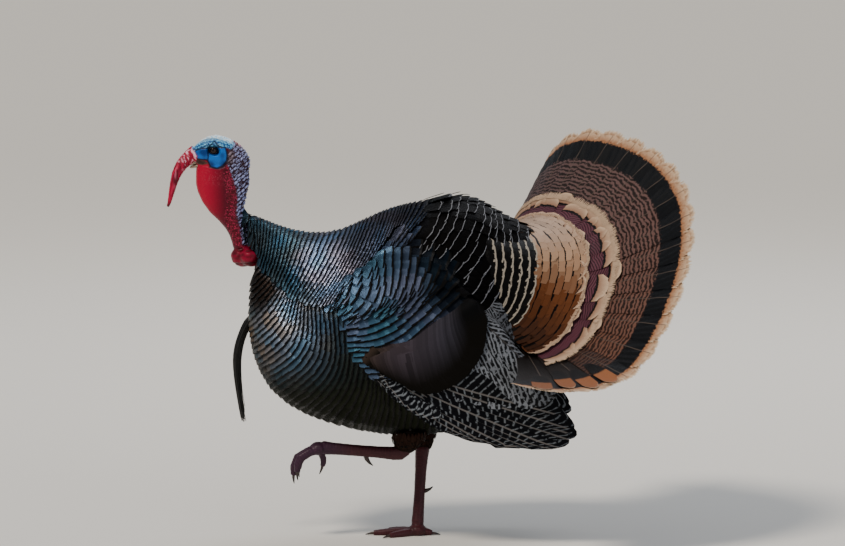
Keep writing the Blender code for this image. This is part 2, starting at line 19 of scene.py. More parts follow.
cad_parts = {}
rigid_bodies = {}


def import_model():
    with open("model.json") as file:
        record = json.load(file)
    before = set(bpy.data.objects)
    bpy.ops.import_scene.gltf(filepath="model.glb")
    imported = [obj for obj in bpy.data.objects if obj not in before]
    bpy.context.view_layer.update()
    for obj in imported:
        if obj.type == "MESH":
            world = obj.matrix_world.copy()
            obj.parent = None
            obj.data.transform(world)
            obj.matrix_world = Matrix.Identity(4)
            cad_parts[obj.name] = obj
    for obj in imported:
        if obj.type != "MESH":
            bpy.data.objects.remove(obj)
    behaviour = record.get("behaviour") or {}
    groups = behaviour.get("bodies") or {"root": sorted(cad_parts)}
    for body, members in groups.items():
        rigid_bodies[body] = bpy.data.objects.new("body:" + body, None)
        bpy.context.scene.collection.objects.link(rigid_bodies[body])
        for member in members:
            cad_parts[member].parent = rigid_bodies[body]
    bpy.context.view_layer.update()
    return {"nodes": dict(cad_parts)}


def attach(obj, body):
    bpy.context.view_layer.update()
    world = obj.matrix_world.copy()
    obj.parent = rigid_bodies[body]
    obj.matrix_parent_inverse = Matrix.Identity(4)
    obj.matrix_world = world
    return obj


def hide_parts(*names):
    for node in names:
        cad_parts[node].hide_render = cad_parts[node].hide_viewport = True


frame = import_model()

log = logging.getLogger("turkey")
MM = 0.001
SEED = 11
BODY = "root"
MIRROR = np.array((-1.0, 1.0, 1.0))
PATCH = 0.003  # side of one feather's patch on the bake map
FAR = 1e3  # metres; farther than anything on the bird
BESIDE = 0.6  # metres; where rays start, clear of the bird
DULL_RIM = (0.25, 0.25, 0.25, 1.0)  # how much of the light at a grazing view is kept
MATH, MIX, SPAN = "ShaderNodeMath", "ShaderNodeMix", "ShaderNodeMapRange"
NOISE, VECTOR = "ShaderNodeTexNoise", "ShaderNodeVectorMath"
RGBA, SMOOTH = {"data_type": "RGBA"}, {"interpolation_type": "SMOOTHSTEP"}


class Slot(Enum):
    """The record's material slots."""

    HEAD = "head_skin"
    EYE = "eye"
    HORN = "horn"
    CLAW = "claw"
    BRISTLE = "bristle"
    BRONZE = "bronze_feathers"
    DARK = "dark_feathers"
    BARRED = "barred_feathers"
    RUFOUS = "rufous_feathers"
    TAIL = "tail_feathers"


def linear(code: str) -> tuple[float, float, float]:
    """Turn an sRGB hex colour to linear light.

    Args:
        code: a colour such as "#a0b1c2".

    Returns:
        Its red, green and blue in linear light.
    """
    parts = [int(code[i:i + 2], 16) / 255 for i in (1, 3, 5)]
    return tuple(c / 12.92 if c <= 0.04045 else ((c + 0.055) / 1.055) ** 2.4 for c in parts)


def opaque(code: str) -> tuple[float, float, float, float]:
    """Return a hex colour in linear light with full alpha."""
    return (*linear(code), 1.0)


def tone(code: str) -> Array:
    """Return a hex colour as a linear array."""
    return np.array(linear(code))


def plain(code: str, rows: Array) -> Array:
    """Return one hex colour for each of the rows, as linear arrays."""
    return np.tile(tone(code), (len(rows), 1))


def unit(rows: Array) -> Array:
    """Return vectors, one a row, at length one."""
    return rows / np.maximum(np.linalg.norm(rows, axis=-1, keepdims=True), 1e-9)


def lengths(rows: Array) -> Array:
    """Return the length of each vector, one a row."""
    return np.linalg.norm(rows, axis=-1)


def ease(values: Array, low: float, high: float) -> Array:
    """Return a smooth step from 0 at low to 1 at high."""
    t = np.clip((np.asarray(values, dtype=float) - low) / (high - low), 0, 1)
    return t * t * (3 - 2 * t)


def mottle(points: Array, size: float, seed: float = 0.0) -> Array:
    """Return smooth noise from -1 to 1 at points, with lumps of a size in metres."""
    shift = Vector((seed, seed * 1.7, -seed))
    return np.array([noise.noise(Vector(p) / size + shift) for p in points])


def add_node(tree: NodeTree, kind: str, settings: dict | None = None, links: dict | None = None) -> Node:
    """Add a shader node with its settings and links.

    Args:
        tree: the node tree.
        kind: the node's type name, such as ShaderNodeMath.
        settings: attributes by name, or input values by name or index.
        links: input name or index to the socket, or the node by its first socket, that feeds it.

    Returns:
        The new node.
    """
    node = tree.nodes.new(kind)
    for key, value in (settings or {}).items():
        if isinstance(key, str) and hasattr(node, key):
            setattr(node, key, value)
        else:
            node.inputs[key].default_value = value
    for key, source in (links or {}).items():
        socket = source.outputs[0] if isinstance(source, Node) else source
        tree.links.new(socket, node.inputs[key])
    return node


def start_material(name: str, settings: dict[str, float | tuple]) -> tuple[Material, NodeTree, Node]:
    """Start a material.

    Args:
        name: what it is called.
        settings: values for its shader's own sockets, by name.

    Returns:
        The material, its node tree and its shader.
    """
    made = bpy.data.materials.new(name)
    made.use_nodes = True
    shader = made.node_tree.nodes["Principled BSDF"]
    for key, value in settings.items():
        shader.inputs[key].default_value = value
    return made, made.node_tree, shader


def surfaced(tree: NodeTree, shader: Node, colour: NodeSocket,
             relief: NodeSocket, strength: float, depth: float) -> None:
    """Feed a shader its colour and its fine relief.

    Args:
        tree: the node tree.
        shader: the shader.
        colour: where its colour comes from.
        relief: where the relief's height comes from.
        strength: how strong the relief is, from 0 to 1.
        depth: how deep it is, in metres.
    """
    bump = add_node(tree, "ShaderNodeBump", {"Strength": strength, "Distance": depth},
                    {"Height": relief})
    tree.links.new(colour, shader.inputs["Base Color"])
    tree.links.new(bump.outputs[0], shader.inputs["Normal"])


def linked(name: str, data: bpy.types.ID) -> Object:
    """Put data in the scene as an object."""
    made = bpy.data.objects.new(name, data)
    bpy.context.scene.collection.objects.link(made)
    return made


def enrol(mesh: Mesh) -> Object:
    """Put a finished mesh in the scene as a piece of the same name, on the body."""
    piece = linked(mesh.name, mesh)
    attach(piece, BODY)
    return piece


def paint(mesh: Mesh, tint: Array, finish: Material) -> None:
    """Give a mesh its colours, one for each point, and its only material."""
    layer = mesh.color_attributes.new("tint", "FLOAT_COLOR", "POINT")
    layer.data.foreach_set("color", np.column_stack([tint, np.ones(len(tint))]).ravel())
    mesh.materials.clear()
    mesh.materials.append(finish)


def shaped(mesh: Mesh, points: Array) -> Mesh:
    """Move a mesh's points to new places."""
    mesh.vertices.foreach_set("co", points.ravel())
    mesh.update()
    return mesh


def spline(knots: list | tuple | Array, places: Array) -> Array:
    """Read a smooth curve through knots.

    Args:
        knots: points or rows of values, evenly spaced along the curve.
        places: where to read, from 0 at the first knot to 1 at the last.

    Returns:
        One row for each place.
    """
    rows = np.array(knots, dtype=float)
    padded = np.vstack([2 * rows[0] - rows[1], rows, 2 * rows[-1] - rows[-2]])
    spots = np.clip(np.asarray(places, dtype=float), 0, 1) * (len(rows) - 1)
    index = np.minimum(spots.astype(int), len(rows) - 2)
    t = (spots - index)[:, None]
    a, b, c, d = (padded[index + k] for k in range(4))
    return 0.5 * (2 * b + (c - a) * t + (2 * a - 5 * b + 4 * c - d) * t**2
                  + (3 * b - a - 3 * c + d) * t**3)


def travelled(line: Array) -> Array:
    """Return the distance from a line's start to each of its points."""
    return np.concatenate([[0.0], np.cumsum(lengths(np.diff(line, axis=0)))])


def evened(line: Array, count: int) -> Array:
    """Return a line with its points spaced evenly, as many as count says."""
    run = travelled(line)
    even = np.linspace(0, run[-1], count)
    return np.column_stack([np.interp(even, run, column) for column in line.T])


def nearest(points: Array, start: Array, end: Array) -> tuple[Array, Array]:
    """Measure how points lie to one straight edge.

    Args:
        points: the points, a row for each.
        start: where the edge starts.
        end: where it ends.

    Returns:
        How far along the edge the nearest place is, from 0 to 1, and the way out from there.
    """
    edge = end - start
    t = np.clip((points - start) @ edge / (edge @ edge), 0, 1)
    return t, points - start - t[:, None] * edge


def merged(names: tuple[str, ...]) -> BMesh:
    """Return copies of CAD nodes in one bmesh, with their doubled points merged."""
    bm = bmesh.new()
    for name in names:
        bm.from_mesh(frame["nodes"][name].data)
    bmesh.ops.remove_doubles(bm, verts=bm.verts, dist=1e-5)
    return bm


def remeshed(name: str, bm: BMesh, voxel: float, rounds: int) -> Mesh:
    """Fuse closed bodies into one smooth skin.

    Args:
        name: what the new mesh is called.
        bm: the bodies; it is freed.
        voxel: the size of the new faces, in metres.
        rounds: how many times the surface is smoothed.

    Returns:
        The new mesh.
    """
    rough = bpy.data.meshes.new(f"{name}_rough")
    bm.to_mesh(rough)
    bm.free()
    holder = linked(f"{name}_rough", rough)
    fuse = holder.modifiers.new("fuse", "REMESH")
    fuse.mode = "VOXEL"
    fuse.voxel_size = voxel
    if rounds:
        soften = holder.modifiers.new("soften", "SMOOTH")
        soften.factor = 0.5
        soften.iterations = rounds
    depsgraph = bpy.context.evaluated_depsgraph_get()
    mesh = bpy.data.meshes.new_from_object(holder.evaluated_get(depsgraph))
    mesh.name = name
    bpy.data.objects.remove(holder, do_unlink=True)
    bpy.data.meshes.remove(rough)
    return mesh


def coordinates(mesh: Mesh) -> Array:
    """Return a mesh's points as rows."""
    out = np.empty(len(mesh.vertices) * 3)
    mesh.vertices.foreach_get("co", out)
    return out.reshape(-1, 3)


def directions(mesh: Mesh) -> Array:
    """Return a mesh's point normals as rows."""
    out = np.empty(len(mesh.vertices) * 3)
    mesh.vertices.foreach_get("normal", out)
    return out.reshape(-1, 3)


class Surface:
    """A smooth closed form under the feathers, made from the CAD nodes."""

    def __init__(self, names: tuple[str, ...], voxel: float, rounds: int, swell: float,
                 flare: tuple[float, float, float] = (0.0, 0.0, 1.0)) -> None:
        """Fuse and smooth the nodes, then push the form out by what smoothing took.

        Args:
            names: the nodes.
            voxel: the size of the form's faces, in metres.
            rounds: how many times it is smoothed.
            swell: how far it is pushed out, in metres.
            flare: how much further its top is pushed out, in metres, and the heights between
                which that grows.
        """
        mesh = remeshed("form", merged(names), voxel, rounds)
        points = coordinates(mesh)
        wider = swell + flare[0] * ease(points[:, 2], flare[1], flare[2])
        points = points + directions(mesh) * wider[:, None]
        shaped(mesh, points)
        normals = directions(mesh)
        faces = [tuple(p.vertices) for p in mesh.polygons]
        self.normals = unit(np.array([normals[list(f)].mean(axis=0) for f in faces]))
        self.tree = BVHTree.FromPolygons([Vector(p) for p in points], faces)
        bpy.data.meshes.remove(mesh)

    def settle(self, points: Array) -> tuple[Array, Array]:
        """Return the nearest places on the form to points, and the normals there."""
        flat = points.reshape(-1, 3)
        spots = np.empty_like(flat)
        facing = np.empty_like(flat)
        for k, point in enumerate(flat):
            spot, _, index, _ = self.tree.find_nearest(Vector(point))
            spots[k] = spot
            facing[k] = self.normals[index]
        return spots.reshape(points.shape), facing.reshape(points.shape)

    def cast(self, starts: Array, headings: Array) -> tuple[Array, Array]:
        """Follow rays to the form.

        Args:
            starts: where each ray starts.
            headings: which way each goes.

        Returns:
            The places hit and their normals; a ray that misses gives NaN.
        """
        spots = np.full_like(starts, np.nan)
        facing = np.full_like(starts, np.nan)
        for k, (start, heading) in enumerate(zip(starts, headings)):
            spot, _, index, _ = self.tree.ray_cast(Vector(start), Vector(heading))
            if spot is not None:
                spots[k] = spot
                facing[k] = self.normals[index]
        return spots, facing


@dataclass
class Flock:
    """A batch of feathers, one row each: where they grow, how they lie and their colour."""

    root: Array
    along: Array
    normal: Array
    length: Array
    width: Array
    tint: Array | None = None
    lift: Array | None = None

    def pick(self, keep: Array) -> "Flock":
        """Return only the feathers that keep marks."""
        some = [getattr(self, name) for name in self.__dataclass_fields__]
        return Flock(*(None if values is None else values[keep] for values in some))

    @staticmethod
    def join(flocks: list["Flock"]) -> "Flock":
        """Return several batches as one."""
        names = Flock.__dataclass_fields__
        columns = [[getattr(f, name) for f in flocks] for name in names]
        return Flock(*(None if c[0] is None else np.concatenate(c) for c in columns))


def seat(points: Array, normals: Array, flow: Array, pitch: Array, spread: float, overlap: float,
         stagger: Array | float, valid: Array | None = None) -> Flock:
    """Set feathers along one line, side by side.

    Args:
        points: a fine line on the body, one place a row.
        normals: the way out of the body at each place.
        flow: the way the feathers point at each place.
        pitch: the distance to the next line, at each place.
        spread: the distance between feathers on the line, as a part of the pitch.
        overlap: a feather's length, as a part of the pitch.
        stagger: what part of a step this line is shifted by.
        valid: the places where feathers may grow, or None for all.

    Returns:
        The feathers.
    """
    steps = lengths(np.diff(points, axis=0))
    share = steps / (pitch[:-1] * spread)
    count = np.concatenate([[0.0], np.cumsum(share)])
    tally = np.floor(count - count[-1] / 2 + 1000 + stagger)
    chosen = np.flatnonzero(np.diff(tally) > 0)
    if valid is not None:
        chosen = chosen[valid[chosen]]
    normal = unit(normals[chosen])
    along = flow[chosen] - normal * np.sum(flow[chosen] * normal, axis=1, keepdims=True)
    return Flock(points[chosen], unit(along), normal, pitch[chosen] * overlap,
                 pitch[chosen] * spread * 1.7)


@dataclass(frozen=True)
class Vane:
    """The shape of one kind of feather, as a thin closed vane.

    Sizes are in metres, or parts of the feather's own length or width.
    """

    across: int = 5
    steps: int = 7
    base: float = 0.45  # width at the root
    full: float = 0.72  # where it reaches its full width
    rounding: float = 0.22  # how far the corners of the tip fall back
    crown: float = 0.008  # how far the middle stands above the edges, in half widths
    tilt: float = 0.022  # how far one edge lies over the neighbour, in half widths
    thick: float = 0.0006
    depth: float = 0.0075  # how deep the root lies under the coat's surface
    rise: float = 0.0006  # how far the tip stands clear of it
    ragged: float = 0.0  # how uneven the tip's edge is
    twist: float = 2.0  # degrees that one feather may turn from its neighbours
    uneven: float = 0.02  # how much lengths differ

    def grid(self) -> tuple[Array, Array]:
        """Return u from -1 to 1 across and v from 0 to 1 along, for the template's points."""
        u = np.linspace(-1, 1, self.across)
        v = np.linspace(0, 1, self.steps) ** 0.85
        vv, uu = np.meshgrid(v, u, indexing="ij")
        return uu, vv

    def faces(self) -> Array:
        """Return the quads of one vane: its top, then its underside, which share a rim."""
        rows, columns = self.steps, self.across
        top = np.arange(rows * columns).reshape(rows, columns)
        under = top.copy()
        inner = (rows - 2) * (columns - 2)
        under[1:-1, 1:-1] = rows * columns + np.arange(inner).reshape(rows - 2, columns - 2)
        quads = []
        for grid, order in ((top, 1), (under, -1)):
            corners = [grid[:-1, :-1], grid[:-1, 1:], grid[1:, 1:], grid[1:, :-1]]
            quads.append(np.stack([c.ravel() for c in corners[::order]], axis=1))
        return np.concatenate(quads)

    def outline(self) -> tuple[Array, Array]:
        """Return each point's place across, in half widths, and along, in lengths."""
        u, v = self.grid()
        swell = self.base + (1 - self.base) * np.sin(np.clip(v / self.full, 0, 1) * math.pi / 2)
        x = u * swell
        y = v - self.rounding * np.abs(u) ** 2.2 * v**4
        return x, y

    def grow(self, flock: Flock, surface: Surface, rng: Generator) -> tuple[Array, Array]:
        """Shape every feather of a batch.

        Args:
            flock: the feathers.
            surface: their form.
            rng: for small differences.

        Returns:
            The points, a row of them for each feather, and the vane map's u and v of a row.
        """
        u, v = self.grid()
        x, y = self.outline()
        n = len(flock.root)
        turn = np.radians(self.twist) * rng.normal(size=(n, 1))
        side = np.cross(flock.along, flock.normal)
        along = flock.along * np.cos(turn) + side * np.sin(turn)
        side = np.cross(along, flock.normal)
        length = flock.length * (1 + self.uneven * rng.normal(size=n))
        height = self.rise * v**2 - self.depth * (1 - v) ** 1.2
        jitter = 0.35 * self.rise * rng.normal(size=(n, 1, 1))
        crown = self.crown * (1 - u**2) * np.minimum(1, v * 3)
        lie = (crown + self.tilt * u * np.minimum(1, v * 2)) * flock.width[:, None, None] / 2
        lift = height + jitter * v**2 + lie
        if flock.lift is not None:
            lift = lift + flock.lift[:, None, None] * np.minimum(1, v * 4)
        far = y[None] * length[:, None, None]
        if self.ragged:
            far = far + rng.normal(size=(n, *y.shape)) * self.ragged * (v**6) * length[:, None, None]
        flat = (flock.root[:, None, None] + along[:, None, None] * far[..., None]
                + side[:, None, None] * (x[None] * flock.width[:, None, None] / 2)[..., None])
        base, facing = surface.settle(flat)
        facing = unit(facing)
        middle = base + facing * lift[..., None]
        shell = facing * self.walls()[None, ..., None]
        return both_sides(middle + shell, middle - shell), self.chart((u + 1) / 2, v)

    def walls(self) -> Array:
        """Return half the vane's thickness at each point, nothing at the rim."""
        half = np.zeros((self.steps, self.across))
        half[1:-1, 1:-1] = self.thick / 2
        return half

    @staticmethod
    def chart(u: Array, v: Array) -> Array:
        """Return the map of a vane's top and then of its underside, from its grid."""
        uv = np.stack([u, v], axis=-1)
        return np.concatenate([uv.reshape(-1, 2), uv[1:-1, 1:-1].reshape(-1, 2)])


def both_sides(top: Array, under: Array) -> Array:
    """Return the points of closed vanes, a row for each.

    Args:
        top: the top sides, feathers by steps by places across by 3.
        under: the undersides, whose rims are the top sides' own.

    Returns:
        Feathers by points by 3.
    """
    inner = under[:, 1:-1, 1:-1]
    return np.concatenate([top.reshape(len(top), -1, 3), inner.reshape(len(top), -1, 3)], axis=1)


def coat_piece(name: str, points: Array, uv: Array, quads: Array, tint: Array, spot: Array,
               material: Material) -> Object:
    """Join a batch of shaped feathers into one piece.

    Args:
        name: its name.
        points: feathers by points by 3.
        uv: the vane map of one feather.
        quads: the faces of one feather.
        tint: a colour for each feather.
        spot: each feather's place on the bake map.
        material: its finish.

    Returns:
        The new object.
    """
    n, m = points.shape[:2]
    mesh = bpy.data.meshes.new(name)
    mesh.vertices.add(n * m)
    mesh.vertices.foreach_set("co", points.reshape(-1))
    loops = (quads[None] + (np.arange(n) * m)[:, None, None]).reshape(-1)
    mesh.loops.add(len(loops))
    mesh.loops.foreach_set("vertex_index", loops.astype(np.int32))
    mesh.polygons.add(len(loops) // 4)
    mesh.polygons.foreach_set("loop_start", np.arange(0, len(loops), 4, dtype=np.int32))
    mesh.update(calc_edges=True)
    mesh.polygons.foreach_set("use_smooth", np.ones(len(mesh.polygons), dtype=bool))
    rim = np.isin(np.arange(m), np.intersect1d(*np.split(quads, 2)))
    ends = np.empty(len(mesh.edges) * 2, dtype=np.int32)
    mesh.edges.foreach_get("vertices", ends)
    sharp = mesh.attributes.new("sharp_edge", "BOOLEAN", "EDGE")
    sharp.data.foreach_set("value", rim[ends.reshape(-1, 2) % m].all(axis=1))
    corner = np.tile(uv[quads.reshape(-1)], (n, 1))
    mesh.uv_layers.new(name="vane").data.foreach_set("uv", corner.reshape(-1))
    place = np.repeat(spot, quads.size, axis=0) + (corner - 0.5) * PATCH
    mesh.uv_layers.new(name="OFBake").data.foreach_set("uv", place.reshape(-1))
    colour = mesh.color_attributes.new("tint", "FLOAT_COLOR", "POINT")
    phase = np.repeat((np.arange(n) * 0.618 + len(name) * 0.37) % 1.0, m)[:, None]
    filled = np.concatenate([np.repeat(tint, m, axis=0), phase], axis=1)
    colour.data.foreach_set("color", filled.reshape(-1))
    mesh.materials.append(material)
    return enrol(mesh)


@dataclass(frozen=True)
class VaneFinish:
    """Barbed vanes of grown keratin: thin and satin, barred and tipped by their pigment.

    The base colour is each feather's own tint, and the barbs scatter light, which keeps the
    rim dull. Places along the vane run from 0 at the root to 1 at the tip.
    """

    name: str
    metallic: float = 0.0
    roughness: float = 0.5
    band: tuple[float, float] = (0.80, 1.2)
    band_hex: str = "#070606"
    edge: float = 0.05  # how soft the band's edge is
    fringe: float = 2.0
    fringe_hex: str = "#b59a78"
    bars: float = 0.0
    bar_hex: str = "#0a0807"
    bar_amount: float = 0.8
    bar_width: float = 0.0  # -1 thin to 1 wide
    bar_slant: float = 0.6
    bar_noise: float = 1.0
    bar_shift: float = 0.0  # how far the bars of one vane are moved from its neighbour's
    breaks: float = 0.0  # above 0.4, the bars are broken into dashes
    tip_hex: str = ""  # the fringe's own end, where it differs
    shaft_hex: str = ""
    ribs: float = 26.0  # barb lines along the vane, drawn as coarse as they need to show
    relief: float = 0.25
    streaks: float = 0.18  # how strongly the barbs show as lines of colour
    gloss: float = 0.3
    shaft: float = 0.016  # half the shaft's width, as a part of the vane's
    glow: float = 0.0  # painted shade: how much darker the vane is where it leaves its neighbours' cover, rising to a little lighter before its band
    spine: float = 0.5  # where the shaft runs, across the vane

    def build(self) -> Material:
        """Make the material."""
        made, tree, shader = start_material(self.name, {
            "Roughness": self.roughness, "Specular IOR Level": self.gloss,
            "Specular Tint": DULL_RIM})
        tint = add_node(tree, "ShaderNodeAttribute", {"attribute_name": "tint"})
        vane = add_node(tree, "ShaderNodeUVMap", {"uv_map": "vane"})
        split = add_node(tree, "ShaderNodeSeparateXYZ", None, {0: vane})
        place = add_node(tree, "ShaderNodeTexCoord").outputs["Object"]
        grain = add_node(tree, NOISE, {"Scale": 260.0, "Detail": 2.0}, {"Vector": place})
        wobble = add_node(tree, MATH, {"operation": "MULTIPLY_ADD", 1: 0.05, 2: -0.025}, {0: grain})
        along = add_node(tree, MATH, {"operation": "ADD"}, {0: split.outputs["Y"], 1: wobble})
        side = add_node(tree, MATH, {"operation": "SUBTRACT", 1: self.spine}, {0: split})
        out = add_node(tree, MATH, {"operation": "ABSOLUTE"}, {0: side})
        colour = tint.outputs["Color"]
        if self.bars:
            colour = self.barred(tree, colour, tint.outputs["Alpha"], split.outputs["Y"], out, place)
        low, high = self.band
        begin = add_node(tree, SPAN, SMOOTH | {1: low, 2: low + self.edge}, {0: along})
        stop = add_node(tree, SPAN, SMOOTH | {1: high, 2: high + self.edge, 3: 1.0, 4: 0.0}, {0: along})
        inside = add_node(tree, MATH, {"operation": "MULTIPLY"}, {0: begin, 1: stop})
        banded = add_node(tree, MIX, RGBA | {7: opaque(self.band_hex)}, {0: inside, 6: colour})
        tip = add_node(tree, SPAN, SMOOTH | {1: self.fringe, 2: self.fringe + self.edge}, {0: along})
        pale = add_node(tree, SPAN, {1: self.fringe + self.edge, 2: 1.0}, {0: along})
        faded = add_node(tree, MIX, RGBA | {6: opaque(self.fringe_hex),
                                     7: opaque(self.tip_hex or self.fringe_hex)}, {0: pale})
        fringed = add_node(tree, MIX, RGBA, {0: tip, 6: banded.outputs[2], 7: faded.outputs[2]})
        colour = fringed.outputs[2]
        if self.shaft_hex:
            quill = add_node(tree, SPAN, SMOOTH | {1: self.shaft, 2: self.shaft * 1.9, 3: 0.8, 4: 0.0},
                             {0: out})
            colour = add_node(tree, MIX, RGBA | {7: opaque(self.shaft_hex)},
                              {0: quill, 6: colour}).outputs[2]
        # Painted shade where the vane comes out from under its neighbours, a little lighter just before
        # the band.
        if self.glow:
            cover_shade_ramp = add_node(tree, SPAN, {1: low - 0.26, 2: low, 3: 1 - self.glow,
                                          4: 1 + 0.3 * self.glow}, {0: split.outputs["Y"]})
            colour = add_node(tree, VECTOR, {"operation": "SCALE"},
                              {0: colour, "Scale": cover_shade_ramp}).outputs[0]
        lines = add_node(tree, MATH, {"operation": "MULTIPLY_ADD", 1: -1.3},
                         {0: out, 2: split.outputs["Y"]})
        fine = add_node(tree, MATH, {"operation": "MULTIPLY", 1: self.ribs * 2 * math.pi}, {0: lines})
        barbs = add_node(tree, MATH, {"operation": "SINE"}, {0: fine})
        streak = add_node(tree, SPAN, {1: -1.0, 2: 1.0, 3: 1 - self.streaks, 4: 1 + 0.6 * self.streaks},
                          {0: barbs})
        streaked = add_node(tree, VECTOR, {"operation": "SCALE"}, {0: colour, "Scale": streak})
        surfaced(tree, shader, streaked.outputs[0], barbs.outputs[0], self.relief, 0.0004)
        if self.metallic:
            covered = add_node(tree, MATH, {"operation": "MAXIMUM"}, {0: inside, 1: tip})
            shine = add_node(tree, SPAN, {3: self.metallic, 4: 0.0}, {0: covered})
            tree.links.new(shine.outputs[0], shader.inputs["Metallic"])
        return made

    def barred(self, tree: NodeTree, colour: NodeSocket, phase: NodeSocket, along: NodeSocket, out: Node,
               place: NodeSocket) -> NodeSocket:
        """Lay dark or pale bars over the vane's colour.

        Args:
            tree: the node tree.
            colour: the vane's own colour.
            phase: what sets one vane's bars apart from its neighbour's.
            along: the place along the vane.
            out: the distance from the shaft.
            place: the place on the bird.

        Returns:
            The barred colour.
        """
        slope = add_node(tree, MATH, {"operation": "MULTIPLY", 1: self.bar_slant}, {0: out})
        ramp = add_node(tree, MATH, {"operation": "SUBTRACT"}, {0: along, 1: slope})
        offset = add_node(tree, MATH, {"operation": "MULTIPLY", 1: 2 * math.pi * self.bar_shift},
                          {0: phase})
        stretch = add_node(tree, MATH, {"operation": "MULTIPLY_ADD", 1: self.bars * 2 * math.pi},
                           {0: ramp, 2: offset})
        waver = add_node(tree, NOISE, {"Scale": 90.0, "Detail": 3.0}, {"Vector": place})
        shake = add_node(tree, MATH, {"operation": "MULTIPLY_ADD", 1: 5.0 * self.bar_noise},
                         {0: waver, 2: stretch})
        wave = add_node(tree, MATH, {"operation": "SINE"}, {0: shake})
        mask = add_node(tree, SPAN, SMOOTH | {1: -self.bar_width - 0.35,
                                     2: -self.bar_width + 0.35, 4: self.bar_amount}, {0: wave})
        flecks = add_node(tree, NOISE, {"Scale": 170.0, "Detail": 2.0}, {"Vector": place})
        held = add_node(tree, SPAN, {1: self.breaks - 0.06, 2: self.breaks + 0.06}, {0: flecks})
        broken = add_node(tree, MATH, {"operation": "MULTIPLY"}, {0: mask, 1: held})
        return add_node(tree, MIX, RGBA | {7: opaque(self.bar_hex)}, {0: broken, 6: colour}).outputs[2]


@dataclass(frozen=True)
class Tract:
    """A field of feathers that grows in rows over one form.

    Each row is drawn on the bird's side, from the near guide through the middle one to the
    far one, and dropped onto the form. The feathers point from the first row to the last.
    Guides are (y, z) in millimetres.
    """

    near: tuple
    middle: tuple
    far: tuple
    pitch: float  # millimetres between rows, along the middle guide
    spread: float = 1.3  # millimetres between feathers in a row, as parts of the pitch
    overlap: float = 2.8  # a feather's length, as a part of the pitch
    least: float = 5.0  # rows closer than this are thinned out, in millimetres
    closed: bool = True  # rows run on over the mid-line to the other side
    bunch: float = 1.0  # above 1, the first rows are closer together
    samples: int = 49

    def drawn(self) -> Array:
        """Return the rows as drawn: rows by samples by (y, z), in metres."""
        fine = np.linspace(0, 1, 400)
        guides = [spline(g, fine) * MM for g in (self.near, self.middle, self.far)]
        run = travelled(guides[1])
        count = max(3, int(round(run[-1] / (self.pitch * MM))) + 1)
        places = np.interp(np.linspace(0, 1, count) ** self.bunch * run[-1], run, fine)
        trio = np.stack([spline(g, places) for g in (self.near, self.middle, self.far)], axis=1)
        trio = trio * MM
        reach = 1 - (1 - np.linspace(0, 1, 150)) ** 1.6
        return np.stack([spline(row, reach) for row in trio])

    def rows(self, surface: Surface) -> tuple[Array, Array]:
        """Drop the rows onto a form.

        Args:
            surface: the form; its left side is read.

        Returns:
            Places and normals, rows by samples by 3, each row running from its near end
            to its far end, and on to the other side's near end where it is closed.
        """
        placed = []
        for row in self.drawn():
            starts = np.column_stack([np.full(len(row), BESIDE), row])
            spots, _ = surface.cast(starts, np.tile((-1.0, 0.0, 0.0), (len(row), 1)))
            spots = spots[~np.isnan(spots[:, 0])]
            if self.closed:
                spots = np.vstack([spots, spots[-1] * (0, 1, 1)])
            placed.append(evened(spots, self.samples))
        points, normals = surface.settle(np.array(placed))
        if self.closed:
            points[:, -1, 0] = 0
            normals[:, -1, 0] = 0
            points = np.concatenate([points, points[:, -2::-1] * MIRROR], axis=1)
            normals = np.concatenate([normals, normals[:, -2::-1] * MIRROR], axis=1)
        return points, normals

    def plant(self, surface: Surface) -> Flock:
        """Set the feathers on every row.

        Args:
            surface: the form they grow on.

        Returns:
            The feathers of the left side, or of both where the rows are closed.
        """
        points, normals = self.rows(surface)
        ahead = np.gradient(points, axis=0)
        beside = unit(np.gradient(points, axis=1))
        ahead = ahead - beside * np.sum(ahead * beside, axis=-1, keepdims=True)
        pitch = lengths(ahead)
        level = np.maximum(0, np.ceil(np.log2(self.least * MM / np.maximum(pitch, 1e-5)))).astype(int)
        step = 2**np.minimum(level, 6)
        flocks = []
        for k in range(len(points)):
            valid = k % step[k] == 0
            wide = np.maximum(pitch[k] * step[k], self.least * MM)
            flocks.append(seat(points[k], normals[k], unit(ahead[k]), wide, self.spread,
                               self.overlap, 0.5 * ((k // step[k]) % 2), valid))
        return Flock.join(flocks)


@dataclass(frozen=True)
class Screen(Tract):
    """A field of feathers on the bird's hind end, drawn from behind.

    Only the middle guide is read: half the width of a row and its height, in millimetres.
    """

    centre: float = 0.0  # how far left of the mid-line it lies, in millimetres

    def rows(self, surface: Surface) -> tuple[Array, Array]:
        """Drop the rows onto a form from behind; see Tract.rows."""
        guide = spline(self.middle, np.linspace(0, 1, 200)) * MM
        run = np.concatenate([[0.0], np.cumsum(np.abs(np.diff(guide[:, 1])))])
        count = int(round(run[-1] / (self.pitch * MM))) + 1
        placed = []
        for reach in np.linspace(0, run[-1], count):
            wide, height = (np.interp(reach, run, guide[:, k]) for k in range(2))
            across = np.linspace(-wide, wide, 2 * self.samples) + self.centre * MM
            starts = np.column_stack([across, np.full_like(across, BESIDE),
                                      np.full_like(across, height)])
            spots, _ = surface.cast(starts, np.tile((0.0, -1.0, 0.0), (len(across), 1)))
            placed.append(evened(spots[~np.isnan(spots[:, 0])], 2 * self.samples))
        return surface.settle(np.array(placed))


def blend(low: Array | str, high: Array | str, share: Array) -> Array:
    """Mix two colours, or two rows of colours, by a share for each row; a hex colour may stand."""
    low, high = (tone(side) if isinstance(side, str) else side for side in (low, high))
    t = np.asarray(share)[:, None]
    return low * (1 - t) + high * t


def shade_of(stops: dict[float, str], values: Array) -> Array:
    """Read colours from a ramp of hex stops at values."""
    keys = sorted(stops)
    colours = np.array([linear(stops[k]) for k in keys])
    return np.column_stack([np.interp(values, keys, colours[:, c]) for c in range(3)])


